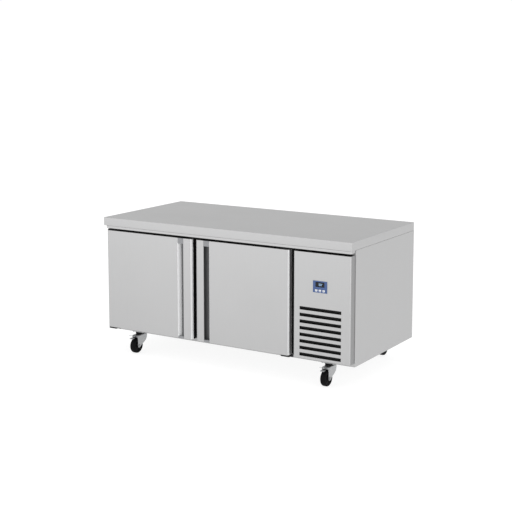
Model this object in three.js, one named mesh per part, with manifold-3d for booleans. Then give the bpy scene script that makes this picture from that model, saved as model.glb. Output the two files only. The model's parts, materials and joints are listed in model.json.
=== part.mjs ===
// Two-door undercounter refrigerator on swivel casters, with a condensing unit in a bay at its right end.
// Millimetres, +Z up, -Y is the front. The origin is on the floor, under the centre of the worktop.
// Inside the cabinet group, x runs right from the worktop's left edge, y runs back from its front
// face and z runs up from the floor.
import * as THREE from "three";
import { mergeVertices } from "three/addons/utils/BufferGeometryUtils.js";
import Module from "manifold-3d";

const wasm = await Module();
wasm.setup();

// ---------------------------------------------------------------- driving dimensions
const WIDTH = 1829;
const DEPTH = 879;
const HEIGHT = 896;
const WORKTOP_EDGE = 54; // height of the worktop's folded apron
const BODY_BOTTOM = 139; // height of the casing's underside over the floor
const BODY_FRONT = 57; // the casing stands this far behind the front of the doors
const SHEET = 1.2; // stainless sheet
const GAP = 0.3; // between pieces that rest on each other

const DOOR_LEFT = 22.5;
const DOOR_WIDTH = 676;
const DOOR_BETWEEN = 33;
const DOOR_BOTTOM = 162;
const DOOR_HEIGHT = 650;
const DOOR_DEPTH = 45;
const DOOR_SKIN_DEPTH = 34;
const DOOR_CORNER = 12;
const DOOR_RIGHT = DOOR_LEFT + 2 * DOOR_WIDTH + DOOR_BETWEEN; // hinge-side edge of the right door
const AXIS_INSET = 16; // hinge axis from the hinge-side edge of the door
const AXIS_BACK = 22; // hinge axis from the front of the door
const PIN_RADIUS = 5;
const PIN_LENGTH = 18;

const BAY_LEFT = 1424; // the condensing unit's bay runs from here to the right side panel
const COVER_LEFT = 1443;
const COVER_RIGHT = 1825;
const RAIL_LEFT = 18;
const OPENING_BOTTOM = 202;
const OPENING_TOP = 772;
const CAVITY_LEFT = 64;
const CAVITY_RIGHT = 1366;
const CAVITY_BACK = 821;
const MULLION_CENTRE = DOOR_LEFT + DOOR_WIDTH + DOOR_BETWEEN / 2;
const MULLION_HALF = 54;

const WHEEL_RADIUS = 50;
const WHEEL_WIDTH = 36;
const CASTER_TRAIL = 42; // from the swivel axis back to the wheel's axle
const CASTER_FRONT = { left: 221, right: 1645, y: 88 }; // swivel axes
const CASTER_REAR = { left: 216, right: 1634, y: 807 };

const SKY = BODY_BOTTOM + (HEIGHT - WORKTOP_EDGE - BODY_BOTTOM) - GAP; // top of the panels under the worktop

// ---------------------------------------------------------------- materials
const finish = (color, roughness, metalness) => new THREE.MeshStandardMaterial({ color, roughness, metalness });
const stainless = finish(0xc4c4c4, 0.4, 0.9);
const aluminium = finish(0xbdbfc2, 0.45, 0.8);
const black = finish(0x161616, 0.6, 0);
const foam = finish(0xe6d9a8, 0.9, 0);
const zinc = finish(0xa9abad, 0.35, 0.9);
const tyre = finish(0x111111, 0.7, 0);
const blue = finish(0x4c68b0, 0.4, 0);
const white = finish(0xe8e8ea, 0.4, 0);
const greyPlastic = finish(0xa9abae, 0.5, 0);
const darkMetal = finish(0x1d1e20, 0.5, 0.3);
const copper = finish(0xb87345, 0.35, 0.9);

// ---------------------------------------------------------------- geometry helpers
const box = (x0, x1, y0, y1, z0, z1) =>
  new THREE.BoxGeometry(x1 - x0, y1 - y0, z1 - z0).translate((x0 + x1) / 2, (y0 + y1) / 2, (z0 + z1) / 2);

// An outline drawn in plan, raised from z0 to z1.
const prismZ = (outline, z0, z1, curveSegments = 6) =>
  new THREE.ExtrudeGeometry(outline, { depth: z1 - z0, bevelEnabled: false, curveSegments }).translate(0, 0, z0);

// An outline drawn in (y, z), run along x from x0 to x1.
function prismX(outline, x0, x1, curveSegments = 6) {
  const axes = new THREE.Matrix4().makeBasis(
    new THREE.Vector3(0, 1, 0),
    new THREE.Vector3(0, 0, 1),
    new THREE.Vector3(1, 0, 0),
  );
  return new THREE.ExtrudeGeometry(outline, { depth: x1 - x0, bevelEnabled: false, curveSegments })
    .applyMatrix4(axes)
    .translate(x0, 0, 0);
}

// A plan rectangle whose front corners, or all four, are round.
function roundedPlan(x0, x1, y0, y1, radius, allCorners = false) {
  const back = allCorners ? radius : 0;
  const s = new THREE.Shape();
  s.moveTo(x0 + radius, y0);
  s.lineTo(x1 - radius, y0);
  s.absarc(x1 - radius, y0 + radius, radius, -Math.PI / 2, 0);
  s.lineTo(x1, y1 - back);
  if (back) s.absarc(x1 - back, y1 - back, back, 0, Math.PI / 2);
  s.lineTo(x0 + back, y1);
  if (back) s.absarc(x0 + back, y1 - back, back, Math.PI / 2, Math.PI);
  s.lineTo(x0, y0 + radius);
  s.absarc(x0 + radius, y0 + radius, radius, Math.PI, Math.PI * 1.5);
  return s;
}

const polygon = (points) => new THREE.Shape(points.map(([a, b]) => new THREE.Vector2(a, b)));

// A cylinder along "x", "y" or "z", centred on (x, y, z).
function rod(axis, radius, length, x, y, z, sides = 20) {
  const g = new THREE.CylinderGeometry(radius, radius, length, sides);
  if (axis === "x") g.rotateZ(Math.PI / 2);
  if (axis === "z") g.rotateX(Math.PI / 2);
  return g.translate(x, y, z);
}

function solid(geometry) {
  if (geometry instanceof wasm.Manifold) return geometry;
  const g = geometry.clone();
  g.deleteAttribute("normal");
  g.deleteAttribute("uv");
  const merged = mergeVertices(g, 1e-4);
  const mesh = new wasm.Mesh({
    numProp: 3,
    vertProperties: new Float32Array(merged.attributes.position.array),
    triVerts: new Uint32Array(merged.index.array),
  });
  return new wasm.Manifold(mesh);
}

const join = (...parts) => parts.map(solid).reduce((a, b) => a.add(b));
const cut = (body, ...tools) => tools.map(solid).reduce((a, b) => a.subtract(b), solid(body));

function piece(name, shape, material) {
  const made = solid(shape).getMesh();
  const vertices = new Float32Array(made.numVert * 3);
  for (let i = 0; i < made.numVert; i++)
    vertices.set(made.vertProperties.subarray(i * made.numProp, i * made.numProp + 3), i * 3);
  const g = new THREE.BufferGeometry();
  g.setAttribute("position", new THREE.BufferAttribute(vertices, 3));
  g.setIndex(new THREE.BufferAttribute(new Uint32Array(made.triVerts), 1));
  g.computeVertexNormals();
  const mesh = new THREE.Mesh(g, material);
  mesh.name = name;
  return mesh;
}

// ---------------------------------------------------------------- casing
function worktop() {
  const lip = 15;
  const bottom = HEIGHT - WORKTOP_EDGE;
  const outer = prismZ(roundedPlan(0, WIDTH, 0, DEPTH, 8, true), bottom, HEIGHT);
  const hollow = box(SHEET, WIDTH - SHEET, SHEET, DEPTH - SHEET, bottom + SHEET, HEIGHT - SHEET);
  const mouth = box(lip, WIDTH - lip, lip, DEPTH - lip, bottom - 1, bottom + 2 * SHEET);
  return piece("worktop", cut(outer, hollow, mouth), stainless);
}

// The strip between the worktop and the doors, open at its back and notched round the upper hinges.
function topRail() {
  const front = 1;
  const back = BODY_FRONT - GAP;
  const bottom = 826;
  const outer = prismZ(roundedPlan(RAIL_LEFT, COVER_RIGHT, front, back, 10), bottom, SKY);
  const hollow = box(RAIL_LEFT + 4, COVER_RIGHT - 4, front + 4, back + 1, bottom + SHEET, SKY - SHEET);
  const notches = [DOOR_LEFT, DOOR_RIGHT].map((x) => box(x - 66, x + 66, back - 6, back + 1, bottom - 1, SKY + 1));
  return piece("top_rail", cut(outer, hollow, ...notches), stainless);
}

// A flat side with a flange turned in at its front.
function sidePanel(name, outside, inward) {
  const t = inward * SHEET;
  const back = DEPTH - GAP;
  const plan = [
    [outside, BODY_FRONT],
    [outside + inward * FLANGE, BODY_FRONT],
    [outside + inward * FLANGE, BODY_FRONT + SHEET],
    [outside + t, BODY_FRONT + SHEET],
    [outside + t, back],
    [outside, back],
  ];
  return piece(name, prismZ(polygon(inward > 0 ? plan : plan.reverse()), BODY_BOTTOM, SKY), stainless);
}

const INNER_LEFT = SHEET + GAP;
const INNER_RIGHT = WIDTH - SHEET - GAP;
const FLANGE = 29; // turned in at the front of each side panel

function backPanel() {
  const slots = [];
  for (let i = 0; i < 8; i++)
    slots.push(box(1500, 1760, DEPTH - 5, DEPTH + 5, 200 + 40 * i, 214 + 40 * i));
  const sheet = box(INNER_LEFT, INNER_RIGHT, DEPTH - SHEET, DEPTH, BODY_BOTTOM, SKY);
  const gland = rod("y", 11.4, 10, 1700, DEPTH, 640);
  return piece("back_panel", cut(sheet, gland, ...slots), stainless);
}

// The floor of the casing, its front upstand, and the wall between the cold space and the bay.
function basePan() {
  const back = DEPTH - SHEET - GAP;
  const floor = box(INNER_LEFT, INNER_RIGHT, BODY_FRONT + SHEET + GAP, back, BODY_BOTTOM, BODY_BOTTOM + SHEET);
  const left = FLANGE + GAP;
  const right = WIDTH - FLANGE - GAP;
  const upstand = box(left, right, BODY_FRONT, BODY_FRONT + SHEET, BODY_BOTTOM, DOOR_BOTTOM - 1);
  const fold = box(left, right, BODY_FRONT, BODY_FRONT + 4, BODY_BOTTOM, BODY_BOTTOM + SHEET);
  const partition = box(BAY_LEFT, BAY_LEFT + SHEET, BODY_FRONT + 13, back, BODY_BOTTOM, SKY);
  return piece("base_pan", join(floor, upstand, fold, partition), stainless);
}

const FRAME_BACK = BODY_FRONT + 12;
const FRAME_RIGHT = COVER_LEFT + 27;
const openings = [
  [CAVITY_LEFT, MULLION_CENTRE - MULLION_HALF],
  [MULLION_CENTRE + MULLION_HALF, CAVITY_RIGHT],
];

function frontFrame() {
  const plate = box(FLANGE + GAP, FRAME_RIGHT, BODY_FRONT + GAP, FRAME_BACK, DOOR_BOTTOM - 0.5, SKY);
  const holes = openings.map(([x0, x1]) => box(x0, x1, 0, DEPTH / 2, OPENING_BOTTOM, OPENING_TOP));
  const post = box(
    MULLION_CENTRE - 50, MULLION_CENTRE + 50, FRAME_BACK - 1, FRAME_BACK + 41,
    OPENING_BOTTOM + GAP, OPENING_TOP - GAP);
  return piece("front_frame", join(cut(plate, ...holes), post), black);
}

function liner() {
  const front = FRAME_BACK + GAP;
  const tub = box(
    CAVITY_LEFT - 1, CAVITY_RIGHT + 1, front, CAVITY_BACK + 1, OPENING_BOTTOM - 1, OPENING_TOP + 1);
  const hollow = box(CAVITY_LEFT, CAVITY_RIGHT, front - 5, CAVITY_BACK, OPENING_BOTTOM, OPENING_TOP);
  return piece("liner", cut(tub, hollow), stainless);
}

function insulation() {
  const front = FRAME_BACK + GAP;
  const right = BAY_LEFT - GAP;
  const block = box(
    INNER_LEFT + GAP, right, front, DEPTH - SHEET - 2 * GAP, BODY_BOTTOM + SHEET + GAP, SKY - 0.1);
  const underWorktop = box(20, right, front, 860, SKY - 2, HEIGHT - SHEET - GAP);
  const hollow = box(
    CAVITY_LEFT - 1.3, CAVITY_RIGHT + 1.3, front - 5, CAVITY_BACK + 1.3,
    OPENING_BOTTOM - 1.3, OPENING_TOP + 1.3);
  return piece("insulation", cut(join(block, underWorktop), hollow), foam);
}

// ---------------------------------------------------------------- inside the cold space
const SHELF_Z = 480;
const SHELF_FRONT = 130;
const SHELF_BACK = 790;

// Two ladder-like sides joined by a bar at the back. The shelf rests on a pair of its runners.
function shelfRack(name, x0, x1) {
  const parts = [];
  for (const [outer, inner] of [[x0, x0 + 14], [x1, x1 - 14]]) {
    const lo = Math.min(outer, inner);
    const hi = Math.max(outer, inner);
    const post = Math.min(outer, outer + Math.sign(inner - outer) * 5);
    for (const y of [SHELF_FRONT + 30, SHELF_BACK - 60])
      parts.push(box(post, post + 5, y, y + 20, OPENING_BOTTOM + 4, OPENING_TOP - 20));
    for (const z of [SHELF_Z - 180, SHELF_Z, SHELF_Z + 160])
      parts.push(box(lo, hi, SHELF_FRONT, SHELF_BACK, z - 2, z));
  }
  const tie = SHELF_Z + 158;
  parts.push(box(x0, x1, SHELF_BACK - 12, SHELF_BACK, tie, tie + 2));
  return piece(name, join(...parts), zinc);
}

// A shelf with a rim and bars running front to back.
function shelf(name, x0, x1) {
  const rim = 8;
  const bar = 4;
  const count = 16;
  const plate = box(x0, x1, SHELF_FRONT + 5, SHELF_BACK - 14, SHELF_Z + GAP, SHELF_Z + 5);
  const pitch = (x1 - x0 - 2 * rim + bar) / count;
  const slots = [];
  for (let i = 0; i < count; i++) {
    const left = x0 + rim + i * pitch;
    slots.push(box(left, left + pitch - bar, SHELF_FRONT + 13, SHELF_BACK - 22, SHELF_Z - 9, SHELF_Z + 9));
  }
  return piece(name, cut(plate, ...slots), white);
}

const PLENUM_LEFT = CAVITY_RIGHT - 112;
const EVAPORATOR_FAN = { y: 470, z: 590, radius: 96 };

// A box over the evaporator, open towards the wall, with the fan's mouth and a row of air slots.
function evaporatorCover() {
  const right = CAVITY_RIGHT - GAP;
  const shell = cut(
    box(PLENUM_LEFT, right, 150, 800, 226, 752),
    box(PLENUM_LEFT + SHEET, right + 1, 150 + SHEET, 800 - SHEET, 226 + SHEET, 752 - SHEET),
    rod("x", EVAPORATOR_FAN.radius + 8, 10, PLENUM_LEFT, EVAPORATOR_FAN.y, EVAPORATOR_FAN.z, 24),
  );
  const slots = [];
  for (let i = 0; i < 6; i++)
    slots.push(box(PLENUM_LEFT - 5, PLENUM_LEFT + 5, 220, 720, 262 + 28 * i, 274 + 28 * i));
  return piece("evaporator_cover", cut(shell, ...slots), stainless);
}

// A finned block: fins stand across the air stream, on a core.
function finnedBlock(name, lo, hi, along, fins, material) {
  const block = box(lo[0], hi[0], lo[1], hi[1], lo[2], hi[2]);
  const pitch = (hi[along] - lo[along]) / (fins + 0.3);
  const grooves = [];
  for (let i = 0; i < fins; i++) {
    const a = [lo[0] - 1, lo[1] - 1, lo[2] + 12];
    const b = [hi[0] + 1, hi[1] + 1, hi[2] - 12];
    a[along] = lo[along] + pitch * (i + 0.3);
    b[along] = lo[along] + pitch * (i + 1);
    grooves.push(box(a[0], b[0], a[1], b[1], a[2], b[2]));
  }
  const tubes = [0.3, 0.7].map((s) => {
    const z = lo[2] + (hi[2] - lo[2]) * s;
    return along === 0
      ? box(lo[0], hi[0], (lo[1] + hi[1]) / 2 - 5, (lo[1] + hi[1]) / 2 + 5, z - 5, z + 5)
      : box((lo[0] + hi[0]) / 2 - 5, (lo[0] + hi[0]) / 2 + 5, lo[1], hi[1], z - 5, z + 5);
  });
  return piece(name, join(cut(block, ...grooves), ...tubes), material);
}

// Blades on a hub that turns about x or y.
function fan(name, axis, centre, radius, blades, thickness, material) {
  const hub = 24;
  const parts = [rod("y", hub, thickness, 0, 0, 0, 16)];
  for (let i = 0; i < blades; i++) {
    const length = radius - hub + 6;
    const blade = new THREE.BoxGeometry(length, 2, radius * 0.45)
      .rotateX(-0.5)
      .translate(hub - 6 + length / 2, 0, 0)
      .rotateY((i / blades) * Math.PI * 2);
    parts.push(blade);
  }
  const trimmed = solid(rod("y", radius, 60, 0, 0, 0, 30)).intersect(join(...parts));
  const bored = cut(trimmed, rod("y", 4, 100, 0, thickness / 2, 0, 12));
  const mesh = piece(name, bored, material);
  mesh.position.set(...centre);
  if (axis === "x") mesh.rotation.z = Math.PI / 2;
  return mesh;
}

function evaporatorFanMotor() {
  const { y, z } = EVAPORATOR_FAN;
  const left = PLENUM_LEFT + SHEET + GAP;
  const back = PLENUM_LEFT + 52;
  const body = rod("x", 28, 20, back - 7, y, z, 16);
  const shaft = rod("x", 3.2, 22, back - 24, y, z, 10);
  const bar = box(back - 3, back, y - 130, y + 130, z - 9, z + 9);
  const legs = [-130, 127].map((d) => box(left, back, y + d, y + d + 3, z - 9, z + 9));
  return piece("evaporator_fan_motor", join(body, shaft, bar, ...legs), darkMetal);
}

// ---------------------------------------------------------------- condensing unit
const UNIT_FLOOR = BODY_BOTTOM + SHEET + GAP;
const CONDENSER_FAN = { x: 1625, z: 325, radius: 118 };

function unitTray() {
  const outer = box(1440, 1820, 62, 866, UNIT_FLOOR, UNIT_FLOOR + 18);
  return piece("unit_tray", cut(outer, box(1442, 1818, 64, 864, UNIT_FLOOR + 2, UNIT_FLOOR + 30)), zinc);
}

// The shroud holds the fan's motor on three arms behind the blades.
function condenserFanShroud() {
  const { x, z, radius } = CONDENSER_FAN;
  const shell = cut(
    box(1465, 1785, 134, 178, 165, 485),
    box(1467, 1783, 130, 176, 167, 483),
    rod("y", radius + 6, 100, x, 170, z, 30),
  );
  const parts = [shell, rod("y", 36, 60, x, 222, z, 16), rod("y", 3.2, 70, x, 185, z, 10)];
  for (const turn of [Math.PI / 2, Math.PI * (7 / 6), Math.PI * (11 / 6)]) {
    const arm = new THREE.BoxGeometry(radius - 10, 4, 14)
      .translate((radius - 10) / 2 + 26, 0, 0)
      .rotateY(-turn)
      .translate(x, 198, z);
    const foot = new THREE.BoxGeometry(10, 26, 14)
      .translate(radius + 12, 0, 0)
      .rotateY(-turn)
      .translate(x, 187, z);
    parts.push(arm, foot);
  }
  return piece("condenser_fan_shroud", join(...parts), darkMetal);
}

const COMPRESSOR = { x: 1600, y: 440 };

function compressor() {
  const { x, y } = COMPRESSOR;
  const floor = UNIT_FLOOR + 2 + GAP;
  const profile = [
    [0, 20], [84, 20], [94, 34], [96, 110], [101, 112], [101, 120], [96, 122], [92, 180], [74, 210],
    [38, 226], [0, 230],
  ].map(([r, h]) => new THREE.Vector2(r, h));
  const can = new THREE.LatheGeometry(profile, 20).rotateX(Math.PI / 2).translate(x, y, floor);
  const plate = box(x - 110, x + 110, y - 80, y + 80, floor + 17, floor + 21);
  const feet = [-96, 96].flatMap((dx) =>
    [-64, 64].map((dy) => rod("z", 13, 18, x + dx, y + dy, floor + 9, 8)));
  const terminals = box(x + 84, x + 122, y - 34, y + 34, floor + 80, floor + 140);
  const inside = rod("z", 76, 190, x, y, floor + 95);
  return piece("compressor", cut(join(can, plate, terminals, ...feet), inside), darkMetal);
}

// The discharge line climbs from the compressor and runs forward to the condenser's header.
function dischargePipe() {
  const { x, y } = COMPRESSOR;
  const floor = UNIT_FLOOR + 2 + GAP;
  const route = new THREE.CatmullRomCurve3(
    [
      [x - 98.5, y - 10, floor + 90],
      [x - 122, y - 14, floor + 100],
      [x - 132, y - 40, floor + 170],
      [x - 132, y - 110, floor + 268],
      [x - 124, y - 190, floor + 356],
      [x - 118, y - 270, floor + 366],
      [x - 116, y - 314, floor + 352],
    ].map((p) => new THREE.Vector3(...p)));
  const section = new THREE.Shape().absarc(0, 0, 4.8, 0, Math.PI * 2);
  const tube = new THREE.ExtrudeGeometry(section, {
    steps: 20, curveSegments: 3, bevelEnabled: false, extrudePath: route,
  });
  return piece("discharge_pipe", tube, copper);
}

function evaporationPan() {
  const floor = UNIT_FLOOR + 2 + GAP;
  const outer = box(1460, 1800, 610, 830, floor, floor + 50);
  return piece("evaporation_pan", cut(outer, box(1463, 1797, 613, 827, floor + 3, floor + 60)), greyPlastic);
}

function electricalBox() {
  const body = join(
    box(BAY_LEFT + SHEET + GAP, 1506, 300, 470, 560, 700),
    box(1506, 1510, 296, 474, 556, 704));
  return piece("electrical_box", body, greyPlastic);
}

function cableGland() {
  const body = join(
    rod("y", 11, 14, 1700, DEPTH - 2, 640),
    rod("y", 15, 8, 1700, DEPTH + 4.4, 640, 6),
    rod("y", 15, 5, 1700, DEPTH - 4.2, 640, 6));
  return piece("cable_gland", cut(body, rod("y", 5.2, 40, 1700, DEPTH, 640, 16)), black);
}

// ---------------------------------------------------------------- bay cover and controls
const CONTROL = { x: 1623, top: 647, bottom: 576, width: 95 };
const DISPLAY = { width: 54, top: 637, bottom: 613 };
const KEY = { width: 16, height: 9, z: 590, pitch: 25, travel: 0.8 };
const LOUVRES = { count: 8, left: 1485, right: 1765, top: 480, pitch: 40.5, height: 20 };
const keyX = (i) => CONTROL.x + (i - 1) * KEY.pitch;

function compressorCover() {
  const top = DOOR_BOTTOM + DOOR_HEIGHT;
  const corner = 8;
  const outer = prismZ(roundedPlan(COVER_LEFT, COVER_RIGHT, 0, BODY_FRONT - GAP, corner), DOOR_BOTTOM, top);
  const inner = prismZ(
    roundedPlan(COVER_LEFT + SHEET, COVER_RIGHT - SHEET, SHEET, 60, corner - SHEET),
    DOOR_BOTTOM + SHEET, top - SHEET);
  const slots = [];
  for (let i = 0; i < LOUVRES.count; i++) {
    const high = LOUVRES.top - i * LOUVRES.pitch;
    slots.push(box(LOUVRES.left, LOUVRES.right, -5, 10, high - LOUVRES.height, high));
  }
  const window = box(CONTROL.x - 36, CONTROL.x + 36, -5, 10, CONTROL.bottom + 5, CONTROL.top - 6);
  return piece("compressor_cover", cut(outer, inner, window, ...slots), stainless);
}

function controlPlate() {
  const half = CONTROL.width / 2;
  const plate = box(CONTROL.x - half, CONTROL.x + half, -1.8, -GAP, CONTROL.bottom, CONTROL.top);
  const d = DISPLAY.width / 2 + 0.4;
  const window = box(CONTROL.x - d, CONTROL.x + d, -5, 5, DISPLAY.bottom - 0.4, DISPLAY.top + 0.4);
  const holes = [0, 1, 2].map((i) => {
    const w = KEY.width / 2 + 0.4;
    const h = KEY.height / 2 + 0.4;
    return box(keyX(i) - w, keyX(i) + w, -5, 5, KEY.z - h, KEY.z + h);
  });
  return piece("control_plate", cut(plate, window, ...holes), blue);
}

function controller() {
  const face = DISPLAY.width / 2;
  const body = box(CONTROL.x - 35, CONTROL.x + 35, 12, 62, CONTROL.bottom + 6, CONTROL.top - 7);
  const screen = box(CONTROL.x - face, CONTROL.x + face, -1.3, 13, DISPLAY.bottom, DISPLAY.top);
  return piece("controller", join(body, screen), black);
}

function key(name, i) {
  const w = KEY.width / 2;
  const h = KEY.height / 2;
  return piece(name, box(keyX(i) - w, keyX(i) + w, -3, 7, KEY.z - h, KEY.z + h), white);
}

// ---------------------------------------------------------------- doors
// A door is drawn hinged at its left, from its hinge-side bottom front corner. The right door mirrors it.
const HANDLE = { lip: 61, far: 106, depth: 26, topCap: 36, bottomCap: 14 };
const AXIS = [AXIS_INSET, AXIS_BACK];
const pinHoles = (radius) => [
  rod("z", radius, 2 * PIN_LENGTH + 8, AXIS[0], AXIS[1], 0, 16),
  rod("z", radius, 2 * PIN_LENGTH + 8, AXIS[0], AXIS[1], DOOR_HEIGHT, 16),
];

function doorSkin(side) {
  const outer = prismZ(roundedPlan(0, DOOR_WIDTH, 0, DOOR_SKIN_DEPTH, DOOR_CORNER), 0, DOOR_HEIGHT);
  const inner = prismZ(
    roundedPlan(SHEET, DOOR_WIDTH - SHEET, SHEET, DOOR_SKIN_DEPTH + 5, DOOR_CORNER - SHEET),
    SHEET, DOOR_HEIGHT - SHEET);
  const slot = box(DOOR_WIDTH - HANDLE.far, DOOR_WIDTH - HANDLE.lip, -5, 5, -5, DOOR_HEIGHT + 5);
  return piece(`door_${side}_skin`, cut(outer, inner, slot, ...pinHoles(PIN_RADIUS + 1.5)), stainless);
}

// A full-height channel: one side slopes in, the other hooks back behind a lip for the fingers.
function doorHandle(side) {
  const a = DOOR_WIDTH - HANDLE.far;
  const b = DOOR_WIDTH - HANDLE.lip;
  const d = HANDLE.depth;
  const outside = polygon([
    [a + GAP, 0], [b - GAP, 0], [b - GAP, SHEET + GAP], [b + 20, SHEET + GAP], [b + 20, d + 2],
    [a + 6, d + 2], [a + GAP, SHEET + 4],
  ]);
  const groove = polygon([
    [a + 2, -1], [a + 2, 0], [a + 10, d - 4], [a + 14, d], [b + 13, d], [b + 17, d - 4], [b + 17, 7],
    [b + 14, 4], [b - 2, 4], [b - 2, -1],
  ]);
  const body = prismZ(outside, SHEET + GAP, DOOR_HEIGHT - SHEET - GAP);
  const channel = prismZ(groove, HANDLE.bottomCap, DOOR_HEIGHT - HANDLE.topCap);
  const caps = [
    [0, SHEET + 2],
    [DOOR_HEIGHT - SHEET - 2, DOOR_HEIGHT],
  ].map(([z0, z1]) => box(a + GAP, b - GAP, 0, SHEET - 0.2, z0, z1));
  return piece(`door_${side}_handle`, join(cut(body, channel), ...caps), aluminium);
}

function doorCore(side) {
  const m = SHEET + 0.5 + GAP;
  const right = DOOR_WIDTH - m;
  const block = prismZ(roundedPlan(m, right, m, DOOR_DEPTH - m, DOOR_CORNER - m), m, DOOR_HEIGHT - m);
  const middle = box(64, DOOR_WIDTH - 64, DOOR_DEPTH - 5, DOOR_DEPTH + 7, 50, DOOR_HEIGHT - 50);
  const pocket = box(
    DOOR_WIDTH - HANDLE.far - 1, DOOR_WIDTH - HANDLE.lip + 21, -1, HANDLE.depth + 2.4, -1, DOOR_HEIGHT + 1);
  return piece(`door_${side}_core`, cut(join(block, middle), pocket, ...pinHoles(PIN_RADIUS + 1.5)), foam);
}

// The sheet at the back of the door: a flat margin for the gasket round a raised middle.
function doorLiner(side) {
  const shape = (inset) =>
    join(
      box(
        0.5 + inset, DOOR_WIDTH - 0.5 - inset, DOOR_SKIN_DEPTH + GAP - inset, DOOR_DEPTH - inset,
        0.5 + inset, DOOR_HEIGHT - 0.5 - inset),
      box(62 + inset, DOOR_WIDTH - 62 - inset, DOOR_DEPTH - 5, DOOR_DEPTH + 9 - inset,
        48 + inset, DOOR_HEIGHT - 48 - inset),
    );
  return piece(`door_${side}_liner`, cut(shape(0), shape(SHEET)), stainless);
}

function doorGasket(side) {
  const inset = 17;
  const width = 17;
  const front = DOOR_DEPTH + GAP;
  const back = BODY_FRONT;
  const ring = cut(
    box(inset, DOOR_WIDTH - inset, front, back, inset, DOOR_HEIGHT - inset),
    box(
      inset + width, DOOR_WIDTH - inset - width, front - 1, back + 1,
      inset + width, DOOR_HEIGHT - inset - width),
  );
  return piece(`door_${side}_gasket`, ring, black);
}

function door(side) {
  const group = new THREE.Group();
  group.add(doorSkin(side), doorHandle(side), doorCore(side), doorLiner(side), doorGasket(side));
  const right = side === "right";
  const x = right ? DOOR_RIGHT : DOOR_LEFT;
  group.position.set(x, 0, DOOR_BOTTOM);
  if (right) group.scale.x = -1;
  return group;
}

// A plate under or over the door's corner with the pivot pin on it and a flange screwed to the casing.
function hingeBracket(side, level) {
  const upper = level === "upper";
  const plate = upper ? [814, 819] : [150, 157];
  const flange = upper ? [814, 840] : [141, 157];
  const pinFrom = upper ? DOOR_BOTTOM + DOOR_HEIGHT - PIN_LENGTH : plate[0];
  const pinTo = upper ? plate[1] : DOOR_BOTTOM + PIN_LENGTH;
  const back = BODY_FRONT - GAP;
  const left = -1;
  const right = 62;
  const plan = roundedPlan(left, right, 9, back, 8);
  const shape = join(
    prismZ(plan, ...plate, 4),
    box(left, right, back - 4, back, ...flange),
    rod("z", PIN_RADIUS, pinTo - pinFrom, AXIS[0], AXIS[1], (pinFrom + pinTo) / 2, 16));
  const mesh = piece(`hinge_${level}_${side}`, shape, black);
  const mirrored = side === "right";
  mesh.position.x = mirrored ? DOOR_RIGHT : DOOR_LEFT;
  if (mirrored) mesh.scale.x = -1;
  return mesh;
}

// ---------------------------------------------------------------- casters
const AXLE_Z = WHEEL_RADIUS;
const PLATE_TOP = BODY_BOTTOM - GAP;

const CROWN = PLATE_TOP - 18; // top of the fork
const CHEEK_INNER = WHEEL_WIDTH / 2 + 3;
const CHEEK_OUTER = CHEEK_INNER + 3;
const PEDAL_PIN = [-46, 108];

// Drawn round the swivel axis with the wheel trailing towards -y.
function casterPlate(name) {
  const plate = prismZ(roundedPlan(-45, 45, -30, 30, 8, true), PLATE_TOP - 3, PLATE_TOP, 3);
  const race = rod("z", 27, 15, 0, 0, PLATE_TOP - 10, 20);
  const kingpin = rod("z", 6, 20, 0, 0, PLATE_TOP - 14, 10);
  return piece(`caster_${name}_plate`, join(plate, race, kingpin), zinc);
}

// Two cheeks, broad at the crown and swept back to the axle.
function casterFork(name) {
  const cheek = new THREE.Shape();
  cheek.moveTo(44, CROWN);
  cheek.lineTo(-54, CROWN);
  cheek.lineTo(-54, 104);
  cheek.lineTo(-47, 88);
  cheek.lineTo(-CASTER_TRAIL - 13, AXLE_Z);
  cheek.absarc(-CASTER_TRAIL, AXLE_Z, 13, Math.PI, Math.PI * 1.8);
  cheek.lineTo(-9, 56);
  cheek.lineTo(19, 68);
  cheek.lineTo(37, 84);
  cheek.lineTo(44, 104);
  cheek.lineTo(44, CROWN);
  const between = box(-CHEEK_INNER, CHEEK_INNER, -200, 200, -10, CROWN - 3);
  const cheeks = cut(prismX(cheek, -CHEEK_OUTER, CHEEK_OUTER), between);
  const head = rod("z", 29, 5, 0, 0, CROWN - 2.5, 20);
  const axle = rod("x", 5, 2 * CHEEK_OUTER + 8, 0, -CASTER_TRAIL, AXLE_Z, 10);
  const nuts = [-1, 1].map((s) => rod("x", 8.5, 5, s * (CHEEK_OUTER + 2.5), -CASTER_TRAIL, AXLE_Z, 6));
  const bored = cut(join(cheeks, head), rod("z", 7, 60, 0, 0, CROWN, 12));
  return piece(`caster_${name}_fork`, join(bored, axle, ...nuts), zinc);
}

function casterWheel(name) {
  const h = WHEEL_WIDTH / 2;
  const bore = 5.8;
  const r = WHEEL_RADIUS;
  const profile = [
    [bore, -h - 1.5], [13, -h - 1.5], [15, -h + 4], [r - 16, -h + 4], [r - 13, -h], [r - 4, -h],
    [r, -h + 6], [r, h - 6], [r - 4, h], [r - 13, h], [r - 16, h - 4], [15, h - 4], [13, h + 1.5],
    [bore, h + 1.5], [bore, -h - 1.5],
  ].map(([a, b]) => new THREE.Vector2(a, b));
  const wheel = new THREE.LatheGeometry(profile, 24).rotateZ(-Math.PI / 2);
  return piece(`caster_${name}_wheel`, wheel.translate(0, -CASTER_TRAIL, AXLE_Z), tyre);
}

// A brake lever with two toe pads, turning on a pin between the fork's cheeks.
function casterPedal(name) {
  const hub = rod("x", 6, 2 * CHEEK_INNER - 2, 0, ...PEDAL_PIN, 14);
  const arm = (turn, length, width, thick) =>
    new THREE.BoxGeometry(width, length, thick)
      .translate(0, -length / 2, 0)
      .rotateX(turn)
      .translate(0, ...PEDAL_PIN);
  return piece(`caster_${name}_pedal`, join(hub, arm(-0.34, 65.2, 30, 3), arm(0.07, 56, 26, 3)), zinc);
}

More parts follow.
